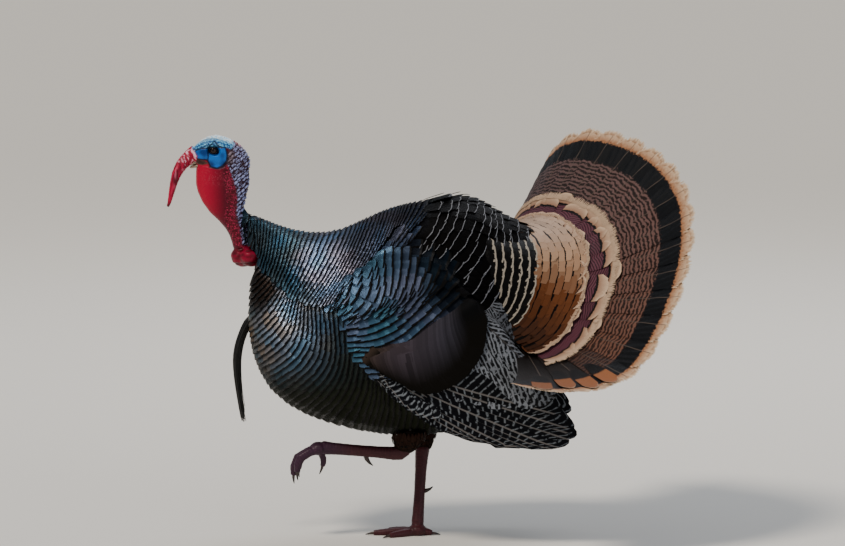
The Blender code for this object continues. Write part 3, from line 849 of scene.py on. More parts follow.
def unwrap(points: Array) -> Array:
    """Return places on an unwrap of the body: its length across, the turn about it up."""
    turn = np.arctan2(points[:, 0], points[:, 2] - 0.40) / (2 * math.pi) + 0.5
    return np.column_stack([0.02 + (points[:, 1] + 0.46) * 0.95, 0.02 + turn * 0.96])


STEEL = VaneFinish("neck_cape_feather_vanes_keratin", metallic=0.7, roughness=0.38,
                   band=(0.892, 1.2), edge=0.02, relief=0.35, glow=0.4)
BRONZE = VaneFinish("body_contour_feather_vanes_keratin", metallic=0.75, roughness=0.36,
                    band=(0.895, 1.2), edge=0.02, relief=0.35, glow=0.4)
BLACK = VaneFinish("back_feather_vanes_keratin", roughness=0.55, band=(0.70, 0.972), edge=0.010,
                   fringe=0.972, fringe_hex="#84868c", gloss=0.06)
DUSKY = VaneFinish("thigh_and_vent_feather_vanes_keratin", roughness=0.6, band=(0.85, 0.965),
                   edge=0.02, fringe=0.965, fringe_hex="#3a2c22", gloss=0.1)

CAPE = Tract(
    near=((-316, 500), (-292, 496), (-262, 474), (-232, 452), (-200, 443), (-168, 444),
          (-126, 462), (-77, 503), (-50, 526)),
    middle=((-317, 556), (-286, 551), (-248, 530), (-206, 513), (-162, 506), (-124, 517),
            (-78, 538), (-34, 571), (-4, 585)),
    far=((-317, 606), (-286, 604), (-240, 584), (-184, 571), (-130, 571), (-88, 596),
         (-45, 620), (-4, 631), (36, 634)),
    pitch=7.4, bunch=1.25)
HUMP = Tract(
    near=((-62, 508), (-10, 515), (34, 500), (70, 464), (100, 430), (112, 404), (113, 380)),
    middle=((-20, 566), (36, 571), (79, 556), (113, 538), (144, 516), (176, 495), (203, 476)),
    far=((10, 632), (60, 640), (99, 633), (122, 615), (149, 600), (185, 586), (216, 578)),
    pitch=17, overlap=3.2, spread=1.15)
BREAST = Tract(
    near=((-290, 508), (-252, 478), (-222, 452), (-196, 446), (-160, 438), (-118, 404),
          (-96, 352), (-60, 304), (-6, 290), (59, 296), (131, 330), (185, 380)),
    middle=((-300, 500), (-278, 446), (-248, 388), (-209, 354), (-164, 327), (-130, 296),
            (-101, 278), (-63, 242), (-9, 218), (56, 218), (131, 263), (194, 327)),
    far=((-318, 488), (-316, 406), (-307, 333), (-289, 283), (-248, 239), (-205, 200),
         (-150, 178), (-90, 160), (-27, 146), (45, 146), (120, 185), (204, 240)),
    pitch=10.4, bunch=1.2)
SCAPULARS = Tract(
    near=((-173, 431), (-154, 437), (-142, 431), (-126, 424), (-106, 424), (-83, 429), (-58, 437),
          (-36, 445), (-14, 449)),
    middle=((-160, 457), (-129, 463), (-111, 457), (-89, 453), (-70, 460), (-52, 466), (-30, 472),
            (-10, 477), (12, 480)),
    far=((-129, 492), (-111, 502), (-95, 511), (-80, 524), (-62, 534), (-43, 538), (-18, 538),
         (10, 524), (40, 510)),
    pitch=14, closed=False)
COVERTS = Tract(
    near=((-133, 424), (-124, 403), (-118, 384), (-113, 369), (-107, 356), (-100, 344), (-83, 331)),
    middle=((-76, 440), (-64, 420), (-52, 401), (-39, 385), (-28, 371), (-18, 359), (-6, 345)),
    far=((-2, 485), (20, 485), (41, 479), (60, 468), (77, 454), (92, 438), (106, 424)),
    pitch=13, closed=False)
VENT = Screen(near=(), middle=((105, 300), (118, 350), (118, 400), (105, 450), (80, 500), (52, 550)),
              far=(), pitch=13)
WING_END = Screen(near=(), middle=((16, 530), (24, 500), (28, 460), (28, 420), (22, 390)), far=(),
                  pitch=11, centre=138)


@dataclass(frozen=True)
class Sleeve:
    """Feathers in rings round a limb, pointing down it. The axis is (x, y, z) in millimetres."""

    node: str
    axis: tuple
    pitch: float = 5.0
    spread: float = 5.5

    def plant(self, surface: Surface) -> Flock:
        """Set the feathers on the limb's form, from its lower end up."""
        line = spline(self.axis, np.linspace(0, 1, 200)) * MM
        run = travelled(line)
        roots, normals = [], []
        for k, reach in enumerate(np.arange(0, run[-1], self.pitch * MM)):
            centre = np.array([np.interp(reach, run, column) for column in line.T])
            turns = np.radians(np.arange(0, 360, 12) + 6 * (k % 2))
            headings = np.column_stack([np.cos(turns), np.sin(turns), np.zeros(len(turns))])
            spots, facing = surface.cast(np.tile(centre, (len(turns), 1)), headings)
            held = ~np.isnan(spots[:, 0])
            roots.append(spots[held])
            normals.append(facing[held])
        root = np.concatenate(roots)
        normal = unit(np.concatenate(normals))
        down = np.tile((0.0, 0.0, -1.0), (len(root), 1))
        along = unit(down - normal * np.sum(down * normal, axis=1, keepdims=True))
        size = np.ones(len(root)) * MM
        return Flock(root, along, normal, size * self.pitch * 6.0, size * self.spread * 1.3)


THIGHS = (Sleeve("thigh_right", ((-29, 10, 152), (-35, 8, 176), (-42, 4, 200), (-50, 0, 232))),
          Sleeve("thigh_left", ((50.5, -23, 166), (51, -20, 178), (54, -14, 200), (58, -8, 232))))


@dataclass
class Plumage:
    """The coat of contour feathers over neck, trunk and wings."""

    body: Surface
    wing: Surface
    rng: Generator
    broad: Vane = field(default_factory=lambda: Vane(rounding=0.035, ragged=0.008))
    gap: float = 0.028  # metres kept free round the caruncles

    def lay(self, name: str, flock: Flock, surface: Surface, vane: Vane,
            finish: Material) -> Object:
        """Shape a batch of feathers and make it a piece.

        Args:
            name: its name.
            flock: the feathers, with their colours.
            surface: their form.
            vane: their shape.
            finish: its material.

        Returns:
            The piece.
        """
        points, uv = vane.grow(flock, surface, self.rng)
        return coat_piece(name, points, uv, vane.faces(), flock.tint, unwrap(flock.root), finish)

    def tinted(self, flock: Flock, tint: Array, vary: float = 0.09) -> Flock:
        """Give each feather its colour, with small differences between neighbours."""
        wave = 1 + vary * self.rng.normal(size=(len(tint), 1))
        flock.tint = np.clip(tint * wave, 0.002, 0.95)
        return flock

    def clear(self, flock: Flock) -> Flock:
        """Return the feathers that stay clear of the ball of caruncles."""
        middle = np.array((0, -0.300, 0.507))
        spots = [flock.root + flock.along * flock.length[:, None] * part for part in (0, 0.5, 1)]
        away = [lengths((s - middle) * (0.7, 1, 1)) for s in spots]
        return flock.pick(np.min(away, axis=0) > self.gap)

    def cape(self) -> Object:
        """Lay the steel-grey feathers of the lower neck and the cape."""
        flock = self.clear(CAPE.plant(self.body))
        flock = flock.pick((flock.root[:, 2] < 0.590) | (flock.root[:, 1] > -0.300))
        low = np.array(CAPE.near) * MM
        above = flock.root[:, 2] - np.interp(flock.root[:, 1], low[:, 0], low[:, 1])
        flock.lift = 0.004 * ease(above, 0.030, 0.0)
        share = (flock.root[:, 1] + 0.31) / 0.36
        tint = shade_of({0: "#2a404e", 0.2: "#506e80", 0.38: "#707a90", 0.6: "#525a70",
                         0.85: "#242836", 1: "#14141a"}, share)
        # Painted highlight: a pale blue-white spot on the cape's shoulder, where the light falls.
        painted_highlight_gap = lengths((flock.root[:, 1:] - (-0.180, 0.505)) * (1, 1.3))
        tint = blend(tint, "#c4cef0", 0.85 * ease(painted_highlight_gap, 0.070, 0.015))
        patchy = mottle(flock.root, 0.04, 2.0)
        tint = blend(tint, tint * (0.75, 1.05, 1.25), ease(patchy, 0.0, 0.5))
        tint = blend(tint, tint * (1.25, 0.95, 0.85), ease(-patchy, 0.0, 0.5))
        self.tinted(flock, tint)
        return self.lay("feathers_cape", flock, self.body, self.broad, STEEL.build())

    def hump(self) -> Object:
        """Lay the long black feathers that hang from the back."""
        flock = HUMP.plant(self.body)
        high = ease(flock.root[:, 2], 0.52, 0.60)
        flock.lift = 0.0035 * high * np.abs(self.rng.normal(size=len(high)))
        self.tinted(flock, plain("#030408", flock.root))
        vane = Vane(rounding=0.05, ragged=0.010, rise=0.0018, steps=8)
        return self.lay("feathers_back", flock, self.body, vane, BLACK.build())

    def breast(self) -> Object:
        """Lay the bronze feathers of the breast and belly."""
        flock = self.clear(BREAST.plant(self.body))
        share = (flock.root[:, 1] + 0.31) / 0.25
        tint = shade_of({0: "#6e6450", 0.14: "#98a2b4", 0.3: "#8898b0", 0.6: "#384e62", 1: "#1e3244"},
                        share)
        patchy = mottle(flock.root, 0.035, 6.0)
        tint = blend(tint, tint * (1.35, 0.98, 0.68), ease(patchy, -0.1, 0.5))
        tint = blend(tint, tint * (0.72, 1.04, 1.18), ease(-patchy, 0.1, 0.6))
        front = lengths(flock.root[:, 1:] - (-0.287, 0.470))
        tint = blend(tint, "#332a26", ease(front, 0.050, 0.018))
        tint = blend(tint, "#23261d", ease(flock.root[:, 2], 0.43, 0.28))
        self.tinted(flock, tint, 0.06)
        return self.lay("feathers_breast", flock, self.body, self.broad, BRONZE.build())

    def vent(self) -> Object:
        """Lay the dusky feathers below the tail, brown at their tips."""
        flock = VENT.plant(self.body)
        self.tinted(flock, plain("#1a1411", flock.root))
        return self.lay("feathers_vent", flock, self.body, Vane(rounding=0.12, ragged=0.02),
                        DUSKY.build())

    def thighs(self) -> Object:
        """Lay the soft dark feathers of the thighs, in rings from the hocks up."""
        flocks = []
        for legs in THIGHS:
            form = Surface((legs.node,), 0.004, 6, 0.001, flare=(0.013, 0.146, 0.218))
            flock = legs.plant(form)
            flocks.append((self.tinted(flock, plain("#2c1c16", flock.root)), form))
        vane = Vane(rounding=0.30, ragged=0.05, depth=0.004, uneven=0.25, twist=4.0)
        grown = [vane.grow(flock, form, self.rng) for flock, form in flocks]
        points = np.concatenate([g[0] for g in grown])
        flock = Flock.join([f for f, _ in flocks])
        return coat_piece("feathers_thighs", points, grown[0][1], vane.faces(), flock.tint,
                          unwrap(flock.root), DUSKY.build())

    def pair(self, name: str, flock: Flock, vane: Vane, finish: Material) -> list[Object]:
        """Lay a batch on the left wing and its mirror image on the right one."""
        points, uv = vane.grow(flock, self.wing, self.rng)
        pieces = []
        for side, sign in (("left", 1.0), ("right", -1.0)):
            placed = points * (sign, 1, 1)
            faces = vane.faces() if sign > 0 else vane.faces()[:, ::-1]
            pieces.append(coat_piece(f"{name}_{side}", placed, uv, faces, flock.tint,
                                     unwrap(flock.root * (sign, 1, 1)), finish))
        return pieces

    def wings(self) -> list[Object]:
        """Lay the wing's quills and coverts on both sides."""
        pieces = []
        for name, blades, code, lift, finish in (
                ("primaries", PRIMARIES, "#07080d", 0.0, PRIMARY_KERATIN),
                ("secondaries", SECONDARIES, "#74787f", 0.004, SECONDARY_KERATIN),
                ("primary_coverts", PRIMARY_COVERTS, "#0a0b10", 0.0, SMALL_BARRED)):
            flock = blades.plant(self.wing)
            flock.lift += lift
            self.tinted(flock, plain(code, flock.root))
            pieces += self.pair(name, flock, QUILL, finish.build())
        flock = GREATER.plant(self.wing)
        share = np.linspace(0, 1, len(flock.root))
        flock.lift += 0.003 + 0.006 * ease(share, 0.0, 0.30)
        tint = shade_of({0: "#342a24", 0.25: "#393238", 0.65: "#34323a", 0.85: "#1e1d22", 1: "#08080a"},
                        share)
        self.tinted(flock, tint, 0.13)
        pieces += self.pair("greater_coverts", flock, PLAIN_QUILL, GREATER_KERATIN.build())
        flock = WING_END.plant(self.wing)
        self.tinted(flock, plain("#0c0b0d", flock.root))
        finish = replace(DUSKY, name="wing_end_feather_vanes_keratin", fringe=2.0)
        pieces += self.pair("wing_ends", flock, self.broad, finish.build())
        bronze = BRONZE.build()
        for name, tract, lift in (("wing_coverts", COVERTS, 0.0010), ("scapulars", SCAPULARS, 0.0028)):
            flock = tract.plant(self.wing)
            flock.lift = np.full(len(flock.root), lift)
            patchy = mottle(flock.root, 0.05, 9.0)
            tint = blend(plain("#3a4e64", patchy), "#50566c", 0.8 * ease(patchy, -0.1, 0.5))
            tint = blend(tint, "#2c5666", 0.7 * ease(-patchy, 0.1, 0.6))
            # Painted shade: the feathers fade to near black toward the upper back, where they run in
            # under the black back feathers.
            past = flock.root[:, 1] + 0.9 * (flock.root[:, 2] - 0.45)
            painted_shade = 0.10 + 0.90 * ease(past, 0.050, 0.000)[:, None]
            # Painted highlight: the feathers toward the front of the wing are lightened where the light
            # falls on them.
            painted_highlight = 1 + 0.8 * ease(flock.root[:, 1], -0.03, -0.11)[:, None]
            self.tinted(flock, tint * painted_shade * painted_highlight, 0.05)
            pieces += self.pair(f"feathers_{name}", flock, self.broad, bronze)
        return pieces


def within(flat: Array, outline: tuple, soft: float) -> Array:
    """Tell how far places lie inside an outline.

    Args:
        flat: places (y, z) in metres.
        outline: its corners (y, z) in millimetres.
        soft: the width over which its edge fades, in millimetres.

    Returns:
        1 inside, 0 outside, eased across the edge.
    """
    corners = np.array(outline, dtype=float) * MM
    near = np.full(len(flat), FAR)
    odd = np.zeros(len(flat), dtype=bool)
    for start, end in zip(corners, np.roll(corners, -1, axis=0)):
        near = np.minimum(near, lengths(nearest(flat, start, end)[1]))
        edge = end - start
        if abs(edge[1]) > 1e-9:
            crosses = (start[1] > flat[:, 1]) != (end[1] > flat[:, 1])
            at = start[0] + (flat[:, 1] - start[1]) / edge[1] * edge[0]
            odd ^= crosses & (flat[:, 0] < at)
    return ease(np.where(odd, near, -near), -soft * MM, soft * MM)


def stroke(flat: Array, path: tuple, width: float) -> Array:
    """Tell how near places lie to a line: 1 on it, fading over a width in millimetres.

    Args:
        flat: places (y, z) in metres.
        path: the line's points (y, z) in millimetres.
        width: how wide it is, in millimetres.

    Returns:
        One value for each place.
    """
    knots = spline(path, np.linspace(0, 1, 24)) * MM
    away = [lengths(nearest(flat, start, end)[1]) for start, end in zip(knots[:-1], knots[1:])]
    return np.exp(-((np.min(away, axis=0) / (width * MM))**2))


def lumps(points: Array, pitch: float, where: Array, seed: float = 0.0) -> Array:
    """Return rounded warts, from 0 in the creases to 1 on top.

    Args:
        points: places in metres.
        pitch: the distance between warts, in millimetres.
        where: the places that have them.
        seed: moves the pattern.

    Returns:
        One value for each place.
    """
    out = np.zeros(len(points))
    for k in np.flatnonzero(where):
        spot = Vector(points[k]) / (pitch * MM) + Vector((seed, seed, seed))
        reach = noise.voronoi(spot)[0]
        out[k] = min(1.0, (reach[1] - reach[0]) * 2.2)
    return out


@dataclass
class Hide:
    """The bird's one skin: head, neck, trunk and legs, bare at both ends and downy between.

    Outlines are (y, z) in millimetres on the side of the head.
    """

    flesh: tuple[str, ...] = ("neck_feathered", "breast", "back", "rump", "wing_left_coverts",
                              "wing_right_coverts")
    naked: tuple[str, ...] = ("head", "throat", "neck_bare", "snood", "caruncles_left",
                              "caruncles_right", "eye_left", "eye_right")
    limbs: tuple[str, ...] = ("shank_left", "shank_right", "foot_left", "foot_right")
    depth: float = 0.008  # how far the skin lies under the tips of the coat
    fine: float = 0.00134  # mesh size on the head
    fills: tuple = (((0, -0.290, 0.545), (0.015, 0.030, 0.032)),
                    ((0, -0.349, 0.668), (0.020, 0.045, 0.014)),
                    ((-0.016, -0.299, 0.508), (0.024, 0.021, 0.018)),
                    ((0.016, -0.299, 0.508), (0.024, 0.021, 0.018)))  # places and half sizes
    eye: tuple[float, float, float] = (0.0165, -0.3645, 0.6995)
    eye_radius: float = 0.0085
    opening: tuple[float, float] = (0.0062, 0.0044)  # half the length and height between the lids
    lobes: tuple = (((-400, 690), (-396, 698), (-386, 702), (-375, 703), (-375, 684), (-386, 684),
                     (-396, 685)),
                    ((-373, 703), (-344, 705), (-341, 692), (-342, 682), (-349, 673), (-358, 669),
                     (-369, 671), (-373, 680)))
    # Creases pressed into the head's skin: a line (y, z), its width and depth in millimetres and its
    # colour. Each is darker than the skin round it, partly the skin's own blue and partly painted shade
    # in the crease, near black under the lobes and over the eye.
    folds: tuple = ((((-374, 704), (-373, 693), (-375, 684)), 1.1, 0.8, "#072a5c"),
                    (((-402, 687), (-388, 683), (-377, 682), (-371, 672)), 1.3, 1.0, "#0a0c18"),
                    (((-372, 670), (-358, 667), (-346, 671), (-339, 683), (-340, 698)), 1.2, 1.3,
                     "#12162a"),
                    (((-402, 699), (-388, 704), (-371, 710), (-358, 708), (-342, 705)), 1.0, 0.7,
                     "#0c2c52"),
                    (((-398, 704), (-386, 710), (-370, 716), (-354, 714), (-338, 709)), 0.9, 0.6,
                     "#0a4c8c"),
                    (((-390, 714), (-374, 720), (-358, 720), (-342, 715)), 0.8, 0.5, "#2f7fae"),
                    (((-376, 704), (-368, 711), (-363, 716), (-356, 709), (-349, 704)), 1.2, 0.5,
                     "#060c1a"))
    gape: tuple = ((-405, 682), (-392, 684), (-380, 681), (-373, 676), (-384, 673), (-404, 675))
    stations: tuple = ((0, -396, 697, 13.5), (2, -405, 690, 12.5), (6, -418, 678, 11.5),
                       (10, -428, 664, 9.5), (12, -434.5, 647, 7.5), (13, -439.5, 627, 5.5),
                       (13, -444, 607, 3.6), (13, -447, 598, 2.2))  # x, y, z, half depth
    shanks: tuple = ((((-31, 10, 166), (-28, 10, 150), (-18, 6, 95), (-9, 3, 48), (-1, 1, 13)),
                      (0, -1, 0), (-1, 0, 6)),
                     (((51, -17, 174), (50, -34, 156.5), (46, -95, 160), (43, -145, 163.5),
                       (42, -170, 165.5)), (0, 0, 1), (42, -178, 163)))
    crown: tuple = ((-412, 706), (-400, 708), (-390, 713), (-376, 719), (-360, 720), (-342, 716),
                    (-330, 712), (-330, 718), (-345, 745), (-395, 745), (-415, 720))
    brow: tuple = ((-404, 695), (-392, 700), (-376, 703), (-343, 706), (-333, 702), (-326, 712),
                   (-340, 722), (-366, 722), (-392, 716), (-404, 706))
    nape: tuple = ((-333, 725), (-336, 700), (-342, 684), (-338, 672), (-331, 653), (-324, 631),
                   (-322, 611), (-324, 585), (-318, 562), (-313, 530), (-285, 530), (-285, 740))
    strip: tuple = ((-342, 676), (-348, 660), (-343, 631), (-341, 605), (-346, 575), (-338, 552),
                    (-330, 528), (-305, 520), (-313, 530), (-318, 562), (-324, 585), (-322, 611),
                    (-324, 631), (-331, 653), (-338, 672))

    def grown(self, names: tuple[str, ...], swell: float) -> BMesh:
        """Return merged nodes, each a little swollen so that neighbours meet."""
        whole = bmesh.new()
        for name in names:
            bm = merged((name,))
            bm.normal_update()
            moves = [v.normal.copy() for v in bm.verts]
            for vertex, move in zip(bm.verts, moves):
                vertex.co += move * swell
            part = bpy.data.meshes.new("part")
            bm.to_mesh(part)
            bm.free()
            whole.from_mesh(part)
            bpy.data.meshes.remove(part)
        return whole

    def moved(self, mesh: Mesh, distance: float) -> Mesh:
        """Push a mesh out along its normals, or draw it in."""
        return shaped(mesh, coordinates(mesh) + directions(mesh) * distance)

    def trunk(self) -> Mesh:
        """Return the trunk's skin, drawn in by the coat's depth."""
        return self.moved(remeshed("trunk_skin", merged(self.flesh), 0.0065, 10), -self.depth)

    def bare(self) -> Mesh:
        """Return the skin of the head and neck, with a root that enters the trunk."""
        bm = self.grown(self.naked, 0.0008)
        for place, size in self.fills:
            matrix = Matrix.Translation(place) @ Matrix.Diagonal((*size, 1))
            bmesh.ops.create_icosphere(bm, subdivisions=4, radius=1, matrix=matrix)
        return self.moved(remeshed("head_skin", bm, self.fine, 14), -0.0003)

    def legs(self) -> Mesh:
        """Return the skin of the legs and feet."""
        return self.moved(remeshed("leg_skin", self.grown(self.limbs, 0.0006), 0.0015, 5), -0.0001)

    def thighs(self) -> Mesh:
        """Return the thighs' skin, drawn in by the coat's depth."""
        mesh = remeshed("thigh_skin", merged(("thigh_left", "thigh_right")), 0.004, 6)
        return self.moved(mesh, -0.004)

    def fused(self) -> Object:
        """Join all of them into one closed skin."""
        parts = [self.trunk(), self.bare(), self.thighs(), self.legs()]
        skin = linked("skin", parts[0])
        tools = [linked(mesh.name, mesh) for mesh in parts[1:]]
        for tool in tools:
            join = skin.modifiers.new(tool.name, "BOOLEAN")
            join.operation = "UNION"
            join.solver = "MANIFOLD"
            join.object = tool
        depsgraph = bpy.context.evaluated_depsgraph_get()
        mesh = bpy.data.meshes.new_from_object(skin.evaluated_get(depsgraph))
        mesh.name = "skin"
        skin.modifiers.clear()
        skin.data = mesh
        for tool in tools:
            bpy.data.objects.remove(tool, do_unlink=True)
        for part in parts:
            bpy.data.meshes.remove(part)
        self.refine(mesh)
        return skin

    def refine(self, mesh: Mesh) -> None:
        """Give the lids a finer mesh than the rest of the head."""
        bm = bmesh.new()
        bm.from_mesh(mesh)
        centres = [Vector(self.eye), Vector(self.eye) * Vector((-1, 1, 1))]
        near = {v for v in bm.verts if min((v.co - c).length for c in centres) < 0.0155}
        edges = [e for e in bm.edges if e.verts[0] in near and e.verts[1] in near]
        bmesh.ops.subdivide_edges(bm, edges=edges, cuts=1, use_grid_fill=True)
        bmesh.ops.triangulate(bm, faces=[f for f in bm.faces if len(f.verts) > 4])
        bm.to_mesh(mesh)
        bm.free()

    def lids(self, points: Array) -> tuple[Array, Array]:
        """Open the lids round both eyes.

        Args:
            points: the skin's points; they are changed.

        Returns:
            How far each point lies from the opening's middle, in openings, and the points.
        """
        away = points - np.array(self.eye) * (0, 1, 1)
        turn = math.radians(-12)
        long = away[:, 1] * math.cos(turn) + away[:, 2] * math.sin(turn)
        tall = -away[:, 1] * math.sin(turn) + away[:, 2] * math.cos(turn)
        rim = np.hypot(long / self.opening[0], tall / self.opening[1])
        side = np.sign(points[:, 0])
        out = np.abs(points[:, 0])
        near = (rim < 3.2) & (out > 0.008)
        thick = np.where(rim < 1.0, -0.0022, 0.0011 - 0.0022 * ease(rim, 1.0, 2.2))
        flat = away[:, 1]**2 + away[:, 2]**2
        ball = self.eye[0] + np.sqrt(np.maximum(1e-8, (self.eye_radius + thick)**2 - flat))
        share = 1 - ease(rim, 1.35, 2.4)
        moved = out * (1 - share) + ball * share
        points[near, 0] = (side * moved)[near]
        return np.where(near, rim, 9.0), points

    def relief(self, points: Array) -> tuple[Array, Array]:
        """Work out the folds and warts of the head and neck, and the colours that go with them.

        Args:
            points: the skin's points.

        Returns:
            How far each point moves out, in metres, and its colour.
        """
        x, y, z = points.T
        flat = points[:, 1:]
        push = np.zeros(len(points))
        tint = plain("#1b1817", points)
        bare = (y < -0.272) & (z > 0.485)
        side = ease(np.abs(x), 0.004, 0.010)
        haze = mottle(points, 0.012, 3.0)

        strip = within(flat, self.strip, 3.0) * bare
        nape = within(flat, self.nape, 2.0) * bare
        crown = within(flat, self.crown, 2.5) * bare
        brow = within(flat, self.brow, 1.5) * bare
        patch = np.zeros(len(points))
        rim = np.zeros(len(points))
        for lobe in self.lobes:
            patch = np.maximum(patch, within(flat, lobe, 0.9) * bare * side)
            rim = np.maximum(rim, within(flat, lobe, 4.0) * bare * side)

        deep = blend("#b00030", "#460018", ease(y, -0.386, -0.334))
        tint[bare] = deep[bare]
        top_warts = lumps(points, 2.6, bare & (z > 0.632) & (z < 0.664) & (y < -0.345), 2.0)
        high = bare * within(flat, ((-392, 664), (-350, 664), (-350, 636), (-380, 640)), 6)
        push += high * (top_warts - 0.5) * 0.0005
        tint = blend(tint, "#b04858", high * ease(top_warts, 0.75, 1.0) * 0.45)

        warts = lumps(points, 3.0, strip > 0.02, 4.0)
        push += strip * (warts - 0.4) * 0.0011
        tint = blend(tint, blend("#46020f", "#c02c54", warts**3), strip)

        lean = np.column_stack([x * 0.7, (y + z) * 0.42, (z - y) * 0.95])
        coarse = lumps(lean, 5.0, nape > 0.02)
        ridge = 0.5 + 0.5 * np.cos((z - y * 0.85 + 0.0012 * haze) / 0.0085 * 2 * math.pi)
        coarse = coarse * ease(ridge, 0.02, 0.35)
        push += nape * (coarse - 0.35) * 0.0021
        lilac = blend("#2c0414", "#a4acdc", ease(coarse, 0.15, 0.62))
        rosy = blend("#3c0210", "#b81c48", ease(coarse, 0.1, 0.6))
        nape_top = within(flat, ((-340, 732), (-330, 712), (-312, 704), (-296, 700), (-310, 740)), 3)
        lilac = blend(lilac, rosy, nape_top)
        ear = within(flat, ((-341, 702), (-330, 702), (-326, 690), (-330, 676), (-341, 678)), 3)
        lilac = blend(lilac, blend("#2a1518", "#8a6f6c", coarse), ear * 0.8)
        tint = blend(tint, lilac, nape)

        grains = lumps(points * (1, 0.55, 1.2), 3.0, (crown + brow) > 0.02, 9.0)
        push += np.maximum(crown, brow) * (1 - patch) * (grains - 0.4) * 0.0011
        cyan = blend("#063c80", "#7cd4ff", ease(grains, 0.10, 0.7))
        tint = blend(tint, cyan, brow)
        white = blend("#6cb8e4", "#f8ffff", ease(grains, 0.05, 0.62))
        tint = blend(tint, white, crown)

        blue = blend("#063474", "#1670cc", ease(haze, -0.6, 0.5))
        tint = blend(tint, "#0a1630", ease(rim, 0.04, 0.22) * (1 - crown))
        tint = blend(tint, blue, patch)
        push += patch * 0.0011
        # Press in the creases and darken them: painted shade over the skin's own colour.
        for path, width, cut, crease_colour_and_shade in self.folds:
            mark = stroke(flat, path, width) * bare * side
            push -= mark * cut * MM
            tint = blend(tint, crease_colour_and_shade, np.clip(mark * 1.2, 0, 1) * 0.9)
        gape = within(flat, self.gape, 1.2) * bare * side
        tint = blend(tint, blend("#1e0c0c", "#7a5048", ease(haze, -0.4, 0.5)), gape)

        tint, push = self.finger(points, tint, push)
        tint, push = self.ball(points, tint, push)
        return push, tint

    def finger(self, points: Array, tint: Array, push: Array) -> tuple[Array, Array]:
        """Wrinkle and colour the snood, the fleshy finger over the bill.

        Args:
            points: the skin's points.
            tint: colours so far.
            push: relief so far.

        Returns:
            The colours and the relief.
        """
        stations = spline(self.stations, np.linspace(0, 1, 60)) * MM
        along = np.zeros(len(points))
        off = np.full(len(points), FAR)
        depth = np.zeros(len(points))
        for k, (x, y, z, deep) in enumerate(stations):
            gap = lengths(points - (x, y, z))
            closer = gap < off
            off[closer] = gap[closer]
            along[closer] = k / (len(stations) - 1)
            depth[closer] = deep
        on = (off < depth * 1.18 + 0.0012) & (points[:, 1] < -0.392) & (points[:, 2] > 0.585)
        front = on & (along > 0.03)
        share = front * ease(along, 0.03, 0.09)
        around = np.arctan2(points[:, 0] - 0.006, points[:, 1] + 0.42)
        wrinkle = mottle(np.column_stack([along * 0.055, around * 0.004, points[:, 0] * 0.5]), 0.0022)
        long = mottle(np.column_stack([along * 0.010, around * 0.010, points[:, 0]]), 0.0022, 5.0)
        fade = ease(along, 0.75, 0.2)
        push = push + share * (wrinkle * 0.0011 * fade + long * 0.0006)
        base = blend("#a00630", "#ffc4d8", ease(wrinkle + 0.4 * long, 0.12, 0.40))
        shaft = blend("#5c0018", "#c20c40", ease(long, -0.4, 0.5))
        # Pale pink streaks down the wrinkles of the shaft: partly the snood's own pale skin and partly
        # painted highlight.
        streak = mottle(np.column_stack([along * 0.012, around * 0.020, points[:, 0] * 0.4]), 0.0022, 9.0)
        shaft = blend(shaft, "#f0809c", 0.5 * ease(streak, 0.20, 0.6) * ease(along, 0.85, 0.40))
        colour = blend(base, shaft, ease(along, 0.14, 0.50))
        colour = blend(colour, "#140808", ease(along, 0.955, 0.985))
        return blend(tint, colour, share), push

    def ball(self, points: Array, tint: Array, push: Array) -> tuple[Array, Array]:
        """Fold and colour the ball of caruncles at the foot of the neck; see finger."""
        centre = np.array((0, -305, 507)) * MM
        away = (points - centre) / (np.array((46, 30, 23)) * MM)
        on = (lengths(away) < 1.12) & (points[:, 1] < -0.276)
        share = on * ease(lengths(away), 1.12, 1.0) * ease(-points[:, 2], -0.53, -0.52)
        folds = mottle(points * (1, 1, 1.6), 0.011, 8.0)
        crease = np.exp(-(((points[:, 2] - 0.4965 - 0.12 * (points[:, 1] + 0.312)) / 0.0016)**2))
        push = push + share * (folds * 0.0012 - crease * 0.0014)
        colour = blend("#4c0010", "#88002a", ease(folds, -0.5, 0.4))
        # Painted shade: the crease round the ball is darkened as well as pressed in.
        colour = blend(colour, "#3a0410", crease * 0.7)
        return blend(tint, colour, share), push

    def scutes(self, points: Array) -> tuple[Array, Array, Array]:
        """Lay the horny plates of shanks and toes.

        Args:
            points: the skin's points.

        Returns:
            Which points are on a leg, from 0 to 1, how far each moves out, and how light it is, as
            painted highlight on the raised ends of plates and tops of scales and painted shade in the
            steps and gaps.
        """
        on = np.zeros(len(points))
        push = np.zeros(len(points))
        light = np.ones(len(points))
        for path, ahead, sole in self.shanks:
            knots = spline(path, np.linspace(0, 1, 40)) * MM
            gap = np.full(len(points), FAR)
            along = np.zeros(len(points))
            out = np.zeros((len(points), 3))
            for start, end, first in zip(knots[:-1], knots[1:], travelled(knots)):
                t, away = nearest(points, start, end)
                near = lengths(away)
                closer = near < gap
                gap[closer] = near[closer]
                along[closer] = (first + t * np.linalg.norm(end - start))[closer]
                out[closer] = away[closer]
            tube = (gap < 0.019) & (points[:, 2] < 0.180)
            front = ease(unit(out) @ np.array(ahead), 0.0, 0.45)
            half = np.sign(unit(out)[:, 0])
            plate = (along / 0.0056 + 0.25 * half) % 1.0
            stair = np.where(tube, front * (0.00045 * plate - 0.0004 * (plate > 0.90)), 0.0)
            scales = lumps(points, 3.4, tube & (front < 0.98), 6.0)
            push += stair + np.where(tube, (1 - front) * (scales - 0.6) * 0.0004, 0.0)
